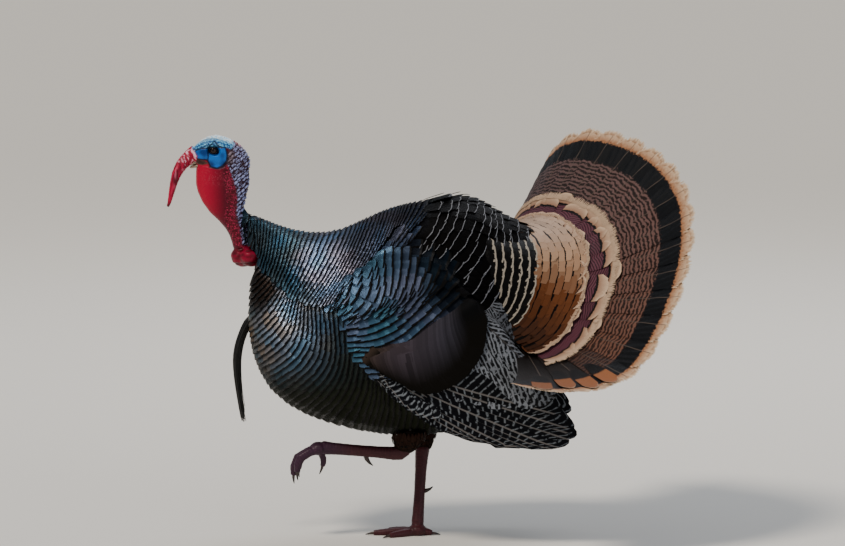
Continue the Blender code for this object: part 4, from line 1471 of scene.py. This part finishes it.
            # Painted light: each plate lighter toward its raised end and each scale lighter on top,
            # darker in the steps and gaps.
            light = np.where(tube, front * (0.55 + 0.6 * plate) + (1 - front) * (0.55 + 0.6 * scales),
                             light)
            foot = lengths(points - np.array(sole) * MM)
            toes = (foot > 0.010) & (foot < 0.105) & (gap > 0.012) & ~tube & (points[:, 2] < 0.178)
            toes &= points[:, 1] < np.array(sole)[1] * MM + 0.05
            ring = (foot / 0.0042) % 1.0
            push += np.where(toes, 0.00035 * ring - 0.0003 * (ring > 0.85), 0.0)
            light = np.where(toes, 0.6 + 0.55 * ring, light)
            on = np.maximum(on, (tube | toes).astype(float))
            on = np.maximum(on, ((foot < 0.03) & (points[:, 2] < 0.180)).astype(float))
        return on, push, light

    def finish(self) -> Material:
        """Make bare living skin: soft and moist, with fine pores."""
        made, tree, shader = start_material("bare_bird_skin", {"Roughness": 0.42,
                                                               "Specular IOR Level": 0.22})
        painted = add_node(tree, "ShaderNodeAttribute", {"attribute_name": "tint"})
        place = add_node(tree, "ShaderNodeTexCoord").outputs["Object"]
        grain = add_node(tree, NOISE, {"Scale": 900.0, "Detail": 3.0}, {"Vector": place})
        pores = add_node(tree, SPAN, {1: 0.3, 2: 0.7, 3: 0.86, 4: 1.1}, {0: grain})
        colour = add_node(tree, VECTOR, {"operation": "SCALE"}, {0: painted, "Scale": pores})
        surfaced(tree, shader, colour.outputs[0], grain.outputs[0], 0.18, 0.0003)
        return made

    def build(self) -> Object:
        """Make the skin and dress it."""
        skin = self.fused()
        mesh = skin.data
        points = coordinates(mesh)
        push, tint = self.relief(points)
        leg, plates, light = self.scutes(points)
        # The legs' colour, with the scutes' painted highlight and shade.
        scute_light_and_shade = np.clip(light * 0.8, 0, 1)
        horny = blend("#14080b", "#4e242a", scute_light_and_shade)
        violet = blend("#120a10", "#44283c", scute_light_and_shade)
        horny = blend(horny, violet, ease(points[:, 1], -0.10, -0.17))
        tint = blend(tint, horny, leg)
        points += directions(mesh) * (push + plates)[:, None]
        rim, points = self.lids(points)
        tint = blend(tint, "#04060a", 1 - ease(rim, 1.45, 1.85))
        shaped(mesh, points)
        mesh.polygons.foreach_set("use_smooth", np.ones(len(mesh.polygons), dtype=bool))
        mesh.polygons.foreach_set("material_index", np.zeros(len(mesh.polygons), dtype=np.int32))
        paint(mesh, tint, self.finish())
        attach(skin, BODY)
        names = [n for n in self.naked if not n.startswith("eye")]
        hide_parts(*self.flesh, *names, *self.limbs, "thigh_left", "thigh_right")
        return skin


@dataclass(frozen=True)
class Eye:
    """A wet dark eye: the ball with its iris and pupil under a clear bulging cornea."""

    centre: tuple[float, float, float]
    radius: float
    iris: float = 0.0046
    pupil: float = 0.0022

    def finish(self) -> Material:
        """Make the eye's wet, glossy surface, with a brown iris round a black pupil."""
        made, tree, shader = start_material("wet_cornea_over_brown_iris",
                                            {"Roughness": 0.08, "Specular IOR Level": 0.35})
        place = add_node(tree, "ShaderNodeTexCoord").outputs["Object"]
        shifted = add_node(tree, "ShaderNodeMapping",
                           {"Location": (0.0, -self.centre[1], -self.centre[2])},
                           {"Vector": place})
        flat = add_node(tree, VECTOR, {"operation": "MULTIPLY", 1: (0, 1, 1)}, {0: shifted})
        away = add_node(tree, VECTOR, {"operation": "LENGTH"}, {0: flat}).outputs["Value"]
        share = add_node(tree, MATH, {"operation": "DIVIDE", 1: self.radius}, {0: away})
        ramp = add_node(tree, "ShaderNodeValToRGB", None, {0: share})
        stops = ramp.color_ramp.elements
        edge, rim = self.pupil / self.radius, self.iris / self.radius
        stops[0].position, stops[0].color = 0.0, opaque("#020202")
        stops[1].position, stops[1].color = 1.0, opaque("#070505")
        for position, code in ((edge * 0.97, "#030202"), (edge * 1.06, "#1c0a05"),
                               (rim * 0.86, "#2c140a"), (rim, "#0c0504")):
            stops.new(position).color = opaque(code)
        tree.links.new(ramp.outputs["Color"], shader.inputs["Base Color"])
        return made

    def build(self, side: str, sign: float, finish: Material) -> Object:
        """Make the ball of one eye.

        Args:
            side: left or right.
            sign: 1 for the left, -1 for the right.
            finish: its material.

        Returns:
            The piece.
        """
        bm = bmesh.new()
        bmesh.ops.create_uvsphere(bm, u_segments=40, v_segments=24, radius=self.radius)
        bmesh.ops.rotate(bm, verts=bm.verts, matrix=Matrix.Rotation(math.pi / 2, 3, "Y"))
        for vertex in bm.verts:
            bulge = max(0.0, vertex.co.x * sign / self.radius - 0.80) / 0.20
            vertex.co *= 1 + 0.05 * bulge
        bmesh.ops.translate(bm, verts=bm.verts, vec=Vector(self.centre) * Vector((sign, 1, 1)))
        mesh = bpy.data.meshes.new(f"eyeball_{side}")
        bm.to_mesh(mesh)
        bm.free()
        mesh.shade_smooth()
        mesh.materials.append(finish)
        piece = enrol(mesh)
        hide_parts(f"eye_{side}")
        return piece


@dataclass(frozen=True)
class Blades:
    """Long quills side by side, drawn on the bird's side from their roots to their tips.

    Guides are (y, z) in millimetres; the last blade lies on top.
    """

    roots: tuple
    tips: tuple
    count: int
    width: float  # millimetres
    layer: float = 0.8  # how much higher each lies than the one before, in millimetres

    def plant(self, surface: Surface) -> Flock:
        """Set the blades of the left wing on a form."""
        places = np.linspace(0, 1, self.count)
        ends = []
        for guide in (self.roots, self.tips):
            row = spline(guide, places) * MM
            starts = np.column_stack([np.full(len(row), BESIDE), row])
            spots, normals = surface.cast(starts, np.tile((-1.0, 0.0, 0.0), (len(row), 1)))
            missed = np.isnan(spots[:, 0])
            near, facing = surface.settle(starts * (0.27, 1, 1))
            spots[missed] = near[missed]
            normals[missed] = facing[missed]
            ends.append((spots, normals))
        (root, normal), (tip, _) = ends
        along = tip - root
        length = lengths(along)
        along = unit(along - normal * np.sum(along * normal, axis=1, keepdims=True))
        return Flock(root, along, normal, length, np.full(len(root), self.width * MM),
                     lift=np.arange(len(root)) * self.layer * MM)


PRIMARIES = Blades(
    roots=((-81, 318), (-67, 318), (-49, 318), (-31, 321), (-9, 329)),
    tips=((121, 184), (167, 178), (221, 177), (268, 180), (292, 198), (292, 224), (272, 253)),
    count=11, width=44)
SECONDARIES = Blades(
    roots=((23, 336), (50, 354), (74, 376), (92, 397), (106, 419), (121, 439)),
    tips=((95, 280), (158, 263), (212, 260), (241, 271), (241, 296), (223, 336)),
    count=11, width=44)
GREATER = Blades(
    roots=((-92, 356), (-48, 372), (2, 392), (44, 420), (70, 438), (84, 448)),
    tips=((-72, 338), (-26, 304), (15, 282), (54, 290), (86, 314), (110, 350), (114, 396)),
    count=44, width=34, layer=0.06)
PRIMARY_COVERTS = Blades(
    roots=((-92, 350), (-72, 332), (-52, 312), (-34, 296), (-12, 284)),
    tips=((-52, 312), (-38, 290), (-14, 262), (12, 244), (40, 238)),
    count=9, width=22, layer=0.25)

QUILL = Vane(across=7, steps=18, rounding=0.12, full=0.4, depth=0.004, rise=0.001, twist=0.6)
PLAIN_QUILL = Vane(across=5, steps=10, rounding=0.16, full=0.45, depth=0.002, rise=0.0002,
                   twist=0.3, tilt=0.0, crown=0.0, thick=0.0002, uneven=0.006)

PRIMARY_KERATIN = VaneFinish("barred_primary_vanes_keratin", roughness=0.45, band=(2, 3), bars=19,
                             bar_hex="#82888e", bar_width=-0.86, bar_amount=0.80, bar_slant=0.10,
                             bar_noise=0.4, bar_shift=1.0, breaks=0.44, shaft_hex="#6e6a68",
                             shaft=0.022, spine=0.80, ribs=60, gloss=0.2)
SECONDARY_KERATIN = VaneFinish("mottled_secondary_vanes_keratin", roughness=0.5, band=(2, 3),
                               bars=11, bar_hex="#08080a", bar_width=0.38, bar_amount=0.97,
                               bar_slant=0.5, bar_noise=0.8, bar_shift=1.0, breaks=0.42,
                               shaft_hex="#3a3634", ribs=60, gloss=0.2)
GREATER_KERATIN = VaneFinish("greater_covert_vanes_keratin", roughness=0.6, band=(0.25, 2),
                             band_hex="#0d0b08", edge=0.72, ribs=20, streaks=0.12, relief=0.2,
                             gloss=0.15)
COPPER = VaneFinish("rump_covert_vanes_keratin", roughness=0.5, band=(0.70, 0.822), edge=0.016,
                    gloss=0.15)
PITCHY = VaneFinish("inner_rump_covert_vanes_keratin", roughness=0.5, band=(0.5, 0.955),
                    edge=0.012, fringe=0.955, fringe_hex="#a39a8c", gloss=0.25)
CREAM = VaneFinish("upper_covert_vanes_keratin", roughness=0.55, bars=17, bar_width=-0.2,
                   bar_slant=0.3, bar_amount=0.75, band=(0.665, 0.725), edge=0.012, fringe=0.725,
                   fringe_hex="#94705a", tip_hex="#ceb296", ribs=60)
SMALL_BARRED = replace(PRIMARY_KERATIN, name="barred_primary_covert_vanes_keratin", bars=6,
                       bar_width=-0.55, bar_noise=0.9)
INNER_CREAM = replace(CREAM, name="inner_covert_vanes_keratin", band=(0.84, 0.885), fringe=0.885)
LOW_RUFOUS = replace(CREAM, name="low_covert_vanes_keratin", bars=0, band=(-0.1, 0.42), edge=0.06,
                     fringe=0.92)
TAIL = VaneFinish("tail_quill_vanes_keratin", roughness=0.5, bars=34, bar_hex="#0e0907", bar_amount=0.9,
                  bar_width=0.05, bar_slant=0.03, bar_noise=2.1, bar_shift=1.0, breaks=0.34, shaft=0.007,
                  band=(0.755, 0.905), band_hex="#090b0f", edge=0.010, fringe=0.905,
                  fringe_hex="#9c6a48", tip_hex="#e2c8a8", shaft_hex="#5a4e46", ribs=90, streaks=0.14)


@dataclass(frozen=True)
class Fan:
    """The raised tail: its quills and the coverts that ring their roots, in fan coordinates.

    A place is an angle in degrees, a reach as a part of the quill's length, and a height in
    metres over the fan toward the bird's head.
    """

    rng: Generator
    root: tuple[float, float, float] = (0.0, 0.144, 0.414)
    up: tuple[float, float, float] = (-0.070, 0.740, 0.668)
    across: tuple[float, float, float] = (0.803, 0.439, -0.401)
    length: float = 0.400
    crown: float = 0.035  # how much longer the middle quills are
    first: float = -55.0
    last: float = 95.0
    quills: int = 18
    half: float = 0.66  # half a quill's width, as a part of the angle between two
    start: float = 0.29  # the reach at which the vanes begin
    end: float = 0.985  # the reach of their tips
    rounding: float = 0.050  # how far their corners fall back
    wall: float = 0.0004  # half their thickness, in metres

    def step(self) -> float:
        """Return the angle between two quills."""
        return (self.last - self.first) / (self.quills - 1)

    def axes(self) -> tuple[Array, Array, Array]:
        """Return the unit axes: toward the middle quill's tip, across and forward."""
        up = unit(np.array(self.up))
        across = np.array(self.across)
        across = unit(across - up * across.dot(up))
        return up, across, np.cross(across, up)

    def point(self, degrees: Array, reach: Array, height: Array) -> Array:
        """Return places in space from places on the fan."""
        up, across, forward = self.axes()
        degrees = np.asarray(degrees, dtype=float)
        turn = np.radians(degrees)[..., None]
        ray = np.cos(turn) * up + np.sin(turn) * across
        near = np.maximum(0, degrees - 70) / 22
        far = np.maximum(0, -degrees - 15) / 35
        bend = (0.100 * near**2 - 0.087 * far**3) * reach**2
        length = self.length * (1 + self.crown * np.exp(-(((degrees - 14) / 26) ** 2)))
        return (np.array(self.root) + ray * (reach * length)[..., None]
                + forward * (bend + height)[..., None])

    def covered(self, degrees: Array, reach: Array, side: int = 1) -> Array:
        """Return how high the coverts stand over the fan, on its upper (1) or under side (-1)."""
        outer = 0.63 if side > 0 else 0.50
        narrow = outer * (1 - 0.10 * np.abs((degrees - 20) / 78) ** 3)
        slope = np.clip((1 - reach / narrow) / 0.55, 0, 1.35)
        hump = 0.052 + side * 0.034 * np.cos(np.radians(degrees))
        return side * ((0.0055 if side > 0 else 0.0030) + hump * slope**2)

    def ends(self, u: Array) -> Array:
        """Return how far a quill's rounded end reaches, at places across it."""
        return self.end - self.rounding * np.abs(u) ** 2.6

    def quill(self, number: int, finish: Material) -> Object:
        """Make one tail quill's vane, with its shaft and its frayed end.

        Args:
            number: its place in the fan, from 0 at the bird's right.
            finish: its material.

        Returns:
            The piece.
        """
        side = 1.0 if number >= self.quills / 2 else -1.0
        u = np.sort(np.concatenate([np.linspace(-1, 1, 25), (-0.035, 0.035)]))
        v = np.linspace(0, 1, 41)
        fray = 0.0035 * self.rng.normal(size=len(u)) + 0.004 * np.sin(u * 7 + number * 2.1)
        vv, uu = np.meshgrid(v, u, indexing="ij")
        widen = 0.80 + 0.20 * np.minimum(1, vv * 3)
        degrees = self.first + number * self.step() + uu * self.step() * self.half * widen
        reach = self.start + vv * (self.ends(uu) - fray[None, :] * (np.abs(uu) < 0.95) - self.start)
        near_shaft = np.abs(uu) < 0.03
        shaft = 0.0009 * near_shaft * (1 - 0.6 * vv)
        ripple = 0.0006 * np.sin(uu * 17 + vv * 40 + number)
        height = 0.0035 * (1 - uu**2) * reach + 0.0022 * uu * side + shaft + ripple * vv
        top = self.point(degrees, reach, height + self.wall)
        under = self.point(degrees, reach, height - self.wall)
        under = under - 0.0008 * near_shaft[..., None] * self.axes()[2]
        grid = Vane(across=len(u), steps=len(v))
        uv = grid.chart((uu + 1) / 2, (reach - self.start) / 0.70)
        # The last quills, low on the near side, darken to near black as painted shade; the rest of the
        # ramp is their own colour.
        tint = shade_of({0: "#564444", 0.45: "#684e4a", 0.82: "#6e4a3c", 0.88: "#4e342a",
                         0.94: "#1c1410", 1: "#120d0b"}, np.array([number / (self.quills - 1)]))
        points = both_sides(top[None], under[None])
        piece = coat_piece(f"tail_quill_{number + 1:02d}", points, uv, grid.faces()[:, ::-1], tint,
                           unwrap(points[0, :1]), finish)
        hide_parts(f"tail_feather_{number + 1:02d}")
        return piece

    def ring(self, reach: float, length: float, step: float, shift: float,
             span: tuple) -> dict[str, Array]:
        """Place one row of coverts around the fan.

        Args:
            reach: where the row's tips are, as a part of the quill's length.
            length: how long the feathers are, in metres.
            step: the distance between them at their tips, in metres.
            shift: what part of a step the row is shifted by.
            span: the first and last angle.

        Returns:
            Each feather's angle, tip, length and step, the last in degrees.
        """
        turn = math.degrees(step / (reach * self.length))
        count = int((span[1] - span[0]) / turn)
        angle = span[0] + (np.arange(count) + shift) * (span[1] - span[0]) / count
        ones = np.ones(count)
        return {"angle": angle, "tip": reach * ones, "long": length / self.length * ones,
                "turn": turn * ones}

    def rings(self, tips: Array, length: float, step: float, span: tuple) -> dict[str, Array]:
        """Place several rows, each half a step on from the last; see ring."""
        rows = [self.ring(tip, length, step, 0.5 * (k % 2), span) for k, tip in enumerate(tips)]
        return {key: np.concatenate([row[key] for row in rows]) for key in rows[0]}

    def coverts(self, rows: dict[str, Array], vane: Vane, wide: float, side: int) -> Array:
        """Shape coverts on the fan.

        Args:
            rows: the feathers' places.
            vane: their shape.
            wide: their width, in steps.
            side: 1 for the fan's upper side, -1 for the under side.

        Returns:
            Their points, a row for each feather.
        """
        x, y = vane.outline()
        u, v = vane.grid()
        count = len(rows["angle"])
        long, turn = rows["long"][:, None, None], rows["turn"][:, None, None]
        tip = rows["tip"] * (1 + 0.2 * vane.uneven * self.rng.normal(size=count))
        reach = (tip - rows["long"])[:, None, None] + y[None] * long
        if vane.ragged:
            fray = vane.ragged * v[None]**6 * self.rng.normal(size=(count, *y.shape))
            reach = reach + fray * long
        flare = tip[:, None, None] / np.maximum(reach, 0.08)
        turned = rows["angle"] + 0.05 * rows["turn"] * self.rng.normal(size=count)
        degrees = turned[:, None, None] + x[None] * (turn * wide / 2) * np.minimum(flare, 1.8)
        rise = vane.rise * v**2 - vane.depth * (1 - v) ** 1.2
        lie = vane.crown * (1 - u**2) + vane.tilt * u
        base = self.covered(degrees, np.maximum(reach, 0.05), side)
        lean = rise + lie * 0.012 + 0.0002 * self.rng.normal(size=(count, 1, 1)) * v
        height = base + side * lean
        return both_sides(self.point(degrees, reach, height + vane.walls()),
                          self.point(degrees, reach, height - vane.walls()))

    def cover(self, name: str, rows: dict[str, Array], tint: Array, vane: Vane, wide: float,
              finish: Material, side: int = 1) -> Object:
        """Make a field of coverts one piece; see coverts and coat_piece for the arguments."""
        points = self.coverts(rows, vane, wide, side)
        u, v = vane.grid()
        tint = np.clip(tint * (1 + 0.07 * self.rng.normal(size=(len(tint), 1))), 0.002, 0.95)
        roots = self.point(rows["angle"], rows["tip"], np.zeros(len(tint)))
        return coat_piece(name, points, vane.chart((u + 1) / 2, v), vane.faces()[:, ::-1], tint,
                          unwrap(roots), finish)

    def slivers(self, name: str, angles: Array, ends: Array, start: float, heights: Array,
                reach: tuple[float, float], finish: Material) -> Object:
        """Make the loose ends of barbs that fray an edge.

        Args:
            name: its name.
            angles: where each grows, in degrees.
            ends: how far the edge they leave reaches there.
            start: where along the vane their colour is read from.
            heights: how high each lies over the fan, in metres.
            reach: the least and the most that they stand past the edge.
            finish: its material.

        Returns:
            The piece.
        """
        grid = Vane(across=3, steps=4, thick=0.0004)
        u, v = grid.grid()
        count = len(angles)
        hidden = 0.014  # the part of each that lies under the edge
        past = self.rng.uniform(reach[0], reach[1], size=(count, 1, 1))
        far = ends[:, None, None] - hidden + (hidden + past) * v[None]
        lean = 0.22 * self.rng.normal(size=(count, 1, 1)) * v**2
        degrees = angles[:, None, None] + u[None] * (0.16 * (1 - 0.75 * v**2)) + lean
        height = heights[:, None, None] + 0.0003 * self.rng.normal(size=(count, 1, 1)) + 0.0 * far
        points = both_sides(self.point(degrees, far, height + grid.walls()),
                            self.point(degrees, far, height - grid.walls()))
        uv = grid.chart((u + 1) / 2 * 0.2 + 0.6, start + (1 - start) * v)
        spots = unwrap(self.point(angles, ends, np.zeros(count)))
        return coat_piece(name, points, uv, grid.faces()[:, ::-1], plain("#8c6040", angles), spots,
                          finish)

    def frayed(self, finish: Material) -> Object:
        """Fray the ends of the quills."""
        angles, ends, heights = [], [], []
        for number in range(self.quills):
            side = 1.0 if number >= self.quills / 2 else -1.0
            u = self.rng.uniform(-0.98, 0.98, size=90)
            angles.append(self.first + number * self.step() + u * self.step() * self.half)
            ends.append(self.ends(u))
            heights.append(0.0035 * (1 - u**2) + 0.0022 * u * side + self.wall)
        return self.slivers("tail_fringe", np.concatenate(angles), np.concatenate(ends), 0.93,
                            np.concatenate(heights), (0.002, 0.015), finish)

    def long_rows(self, span: tuple, vane: Vane) -> list[Object]:
        """Lay the two outer rows of long coverts, with their frayed edges.

        Args:
            span: the first and last angle.
            vane: the feathers' shape.

        Returns:
            The pieces.
        """
        pieces = []
        for k, (tip, long, step, colour, kind) in enumerate((
                (0.618, 0.080, 0.040, "#5e3440", CREAM),
                (0.500, 0.060, 0.030, "#6a4028", INNER_CREAM))):
            rows = self.ring(tip, long, step, 0.5 * (k % 2), span)
            finish = kind.build()
            pieces.append(self.cover(f"coverts_long_{k + 1}", rows, plain(colour, rows["angle"]), vane,
                                     1.5, finish))
            angles = self.rng.uniform(span[0] + 1, span[1] - 1, size=1500)
            spots = np.column_stack([angles, angles * 0.0, angles * 0.0])
            ends = np.full(1500, tip - 0.012) + 0.012 * mottle(spots, 6.0, 3.0 + k)
            heights = self.covered(angles, ends) + 0.0016
            pieces.append(self.slivers(f"coverts_fringe_{k + 1}", angles, ends, 0.90, heights,
                                       (0.004, 0.024 - 0.014 * k), finish))
        return pieces

    def build(self) -> list[Object]:
        """Make the quills and the coverts."""
        tail = TAIL.build()
        pieces = [self.quill(k, tail) for k in range(self.quills)]
        pieces.append(self.frayed(tail))
        span = (self.first - 4, self.last - 3)
        long_vane = Vane(across=13, steps=16, rounding=0.20, full=0.5, ragged=0.014, depth=0.01,
                         rise=0.001, uneven=0.08)
        pieces += self.long_rows(span, long_vane)
        short = Vane(rounding=0.04, ragged=0.010)
        rows = self.rings(np.arange(0.315, 0.17, -0.025), 0.052, 0.021, span)
        pieces.append(self.cover("coverts_rump_inner", rows, plain("#0a0909", rows["angle"]), short,
                                 1.7, PITCHY.build()))
        rows = self.rings(np.arange(0.482, 0.325, -0.026), 0.056, 0.023, span)
        # Their own buff and chestnut, darkening toward the low near side as painted shade.
        tint = shade_of({-55: "#8a7464", -10: "#b49a86", 22: "#a8866a", 50: "#64391f", 95: "#20140f"},
                        rows["angle"])
        pieces.append(self.cover("coverts_rump", rows, tint, short, 1.7, COPPER.build()))
        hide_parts("tail_coverts_upper")
        rows = self.ring(0.968, 0.100, 0.031, 0.5, (78, 98))
        pieces.append(self.cover("coverts_low", rows, plain("#8a5634", rows["angle"]),
                                 replace(long_vane, depth=0.002), 0.78, LOW_RUFOUS.build()))
        rows = self.rings(np.arange(0.505, 0.10, -0.034), 0.062, 0.021, (self.first + 15, 87))
        under = self.cover("coverts_undertail", rows, plain("#3a261a", rows["angle"]), short, 1.5,
                           DUSKY.build(), side=-1)
        under.data.flip_normals()
        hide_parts("tail_coverts_under")
        return [*pieces, under]


@dataclass(frozen=True)
class Beard:
    """The tuft of coarse black bristles that hangs from the breast."""

    path: tuple = ((0, -276, 408), (0, -299, 394), (0, -315, 364), (0, -323, 332), (0, -324, 296),
                   (0, -320, 252), (0, -312, 206))
    count: int = 170
    sides: int = 5
    rings: int = 16
    radius: float = 0.0105  # of the tuft at its root, in metres
    girth: float = 0.0010  # a bristle's radius at its root, in metres

    def build(self, rng: Generator) -> Object:
        """Make the tuft."""
        share = np.linspace(0, 1, self.rings)
        line = spline(self.path, share) * MM
        around = np.arange(self.sides) / self.sides * 2 * math.pi
        bm = bmesh.new()
        for _ in range(self.count):
            turn = rng.uniform(0, 2 * math.pi)
            wide = math.sqrt(rng.uniform()) * self.radius
            reach = rng.uniform(0.80, 1.0)
            stray = 0.0014 * rng.normal(size=2)
            centre = spline(line, share * reach)
            spread = 1 - 0.50 * share
            shift = np.column_stack([np.cos(turn) * wide * spread, np.sin(turn) * wide * spread])
            shift += stray * (share**2)[:, None] + 0.0006 * np.sin(share * 9 + turn)[:, None]
            centre[:, :2] += shift
            rows = [[bm.verts.new(place + girth * np.array((math.cos(a), math.sin(a), 0)))
                     for a in around] for place, girth in zip(centre, self.girth * (1 - 0.5 * share))]
            for low, high in zip(rows[:-1], rows[1:]):
                for k in range(self.sides):
                    n = (k + 1) % self.sides
                    bm.faces.new((low[k], high[k], high[n], low[n]))
            bm.faces.new(rows[0])
            bm.faces.new(rows[-1][::-1])
        mesh = bpy.data.meshes.new("beard_bristles")
        bmesh.ops.recalc_face_normals(bm, faces=bm.faces)
        bm.to_mesh(mesh)
        bm.free()
        mesh.shade_smooth()
        made, _, _ = start_material("black_beard_bristle_keratin",
                                    {"Base Color": opaque("#0a0908"), "Roughness": 0.42})
        mesh.materials.append(made)
        piece = enrol(mesh)
        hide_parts("beard")
        return piece


@dataclass(frozen=True)
class Horn:
    """Bill, claws and spurs: grown horn, darker at the root, worn smooth toward the tip."""

    node: str
    slot: Slot
    root_hex: str
    tip_hex: str
    start: tuple[float, float, float]  # millimetres
    voxel: float = 0.0007

    def build(self) -> Object:
        """Make the piece from a copy of its node."""
        mesh = remeshed(f"{self.node}_horn", merged((self.node,)), self.voxel, 3)
        points = coordinates(mesh)
        away = lengths(points - np.array(self.start) * MM)
        share = (away - away.min()) / (away.max() - away.min())
        rings = np.sin(away / 0.0016 * 2 * math.pi) * 0.00005 * (1 - share)
        points += directions(mesh) * (0.00015 + rings)[:, None]
        shaped(mesh, points)
        mesh.shade_smooth()
        tint = blend(self.root_hex, self.tip_hex, ease(share, 0.1, 0.9))
        paint(mesh, tint, self.finish())
        piece = enrol(mesh)
        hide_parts(self.node)
        return piece

    @staticmethod
    def finish() -> Material:
        """Make polished horn, once for all of them."""
        name = "grown_horn"
        if name in bpy.data.materials:
            return bpy.data.materials[name]
        made, tree, shader = start_material(name, {"Roughness": 0.35})
        painted = add_node(tree, "ShaderNodeAttribute", {"attribute_name": "tint"})
        tree.links.new(painted.outputs["Color"], shader.inputs["Base Color"])
        return made


def horns() -> list[Object]:
    """Make the bill, the claws and the spurs."""
    pieces = [Horn("bill_upper", Slot.HORN, "#4a3830", "#b7a58c", (0, -380, 684)).build(),
              Horn("bill_lower", Slot.HORN, "#4a3830", "#a8957c", (0, -380, 680)).build(),
              Horn("spur_right", Slot.CLAW, "#2c1c18", "#0e0a09", (-18, 5, 78)).build(),
              Horn("spur_left", Slot.CLAW, "#2c1c18", "#0e0a09", (46, -92, 156)).build()]
    for side, foot in (("left", (42, -178, 163)), ("right", (-4, 0, 8))):
        for toe in ("middle", "inner", "outer", "hind"):
            name = f"claw_{side}_{toe}"
            pieces.append(Horn(name, Slot.CLAW, "#3a2822", "#120c0a", foot, 0.0006).build())
    return pieces


@dataclass(frozen=True)
class Studio:
    """Pale floor, soft lights and the camera."""

    distance: float = 9.0
    height: float = 6.0  # degrees above the horizon
    aim: tuple[float, float, float] = (0.0, 0.010, 0.477)
    seen: float = 1.521  # metres across the view at the bird
    reach: float = 6.0

    def floor(self) -> None:
        """Make the floor."""
        bm = bmesh.new()
        bmesh.ops.create_grid(bm, x_segments=1, y_segments=1, size=self.reach * 4)
        mesh = bpy.data.meshes.new("floor")
        bm.to_mesh(mesh)
        bm.free()
        made, _, _ = start_material("matt_painted_floor",
                                    {"Base Color": opaque("#e6e3dc"), "Roughness": 0.9})
        mesh.materials.append(made)
        linked("floor", mesh)

    def lamp(self, name: str, kind: str, place: Vector, heading: Vector, colour: str,
             settings: dict[str, float]) -> None:
        """Hang one soft lamp.

        Args:
            name: what it is called.
            kind: AREA or SUN.
            place: where it hangs.
            heading: which way it faces.
            colour: its colour.
            settings: its energy and size, by attribute.
        """
        data = bpy.data.lights.new(name, kind)
        data.color = linear(colour)
        for key, value in settings.items():
            setattr(data, key, value)
        lamp = linked(name, data)
        lamp.location = place
        lamp.rotation_euler = heading.to_track_quat("-Z", "Y").to_euler()

    def build(self) -> None:
        """Set up the floor, the lights, the sky and the camera."""
        self.floor()
        aim = Vector(self.aim)
        for name, place, colour, size, power in (("fill", (4.0, 3.2, 2.2), "#eaf1ff", 3.5, 40),
                                                 ("rim", (-3.0, 1.0, 4.0), "#f4f7ff", 3.0, 90)):
            self.lamp(name, "AREA", Vector(place), aim - Vector(place), colour,
                      {"size": size, "energy": power})
        self.lamp("key", "SUN", Vector(), Vector((-2.6, 2.4, -4.6)), "#fff4e6",
                  {"angle": math.radians(14), "energy": 2.4})
        world = bpy.data.worlds.new("sky")
        world.use_nodes = True
        sky = world.node_tree.nodes["Background"]
        sky.inputs["Color"].default_value = opaque("#dfe6ee")
        sky.inputs["Strength"].default_value = 0.36
        bpy.context.scene.world = world
        data = bpy.data.cameras.new("camera")
        data.sensor_width = 36.0
        data.lens = 36.0 * self.distance / self.seen
        data.clip_end = 60
        camera = linked("camera", data)
        lift = math.radians(self.height)
        camera.location = aim + Vector((math.cos(lift), 0, math.sin(lift))) * self.distance
        camera.rotation_euler = (aim - camera.location).to_track_quat("-Z", "Y").to_euler()
        bpy.context.scene.camera = camera


def main() -> None:
    """Build every part of the bird in order, then the studio."""
    logging.basicConfig(level=logging.INFO, format="%(name)s %(message)s")
    rng = np.random.default_rng(SEED)
    body = Surface(("neck_feathered", "breast", "back", "rump", "neck_bare", "throat"), 0.005, 9, 0.0013)
    wing = Surface(("neck_feathered", "breast", "back", "rump", "wing_left_coverts",
                    "wing_left_secondaries", "wing_left_primaries"), 0.005, 8, 0.001)
    log.info("forms ready")
    coat = Plumage(body, wing, rng)
    sides = ("left", "right")
    hide = Hide()
    eye = Eye(hide.eye, hide.eye_radius)
    wet = eye.finish()
    balls = [eye.build(side, sign, wet) for side, sign in zip(sides, (1.0, -1.0))]
    pieces = [hide.build(), *balls, *horns(), Beard().build(rng), coat.cape(), coat.hump(),
              coat.breast(), coat.vent(), coat.thighs(), *coat.wings(), *Fan(rng).build()]
    for piece in pieces:
        log.info("%s: %d faces", piece.name, len(piece.data.polygons))
    for side in sides:
        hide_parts(f"wing_{side}_secondaries")
        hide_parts(f"wing_{side}_primaries")
    Studio().build()


if __name__ == "__main__":
    main()
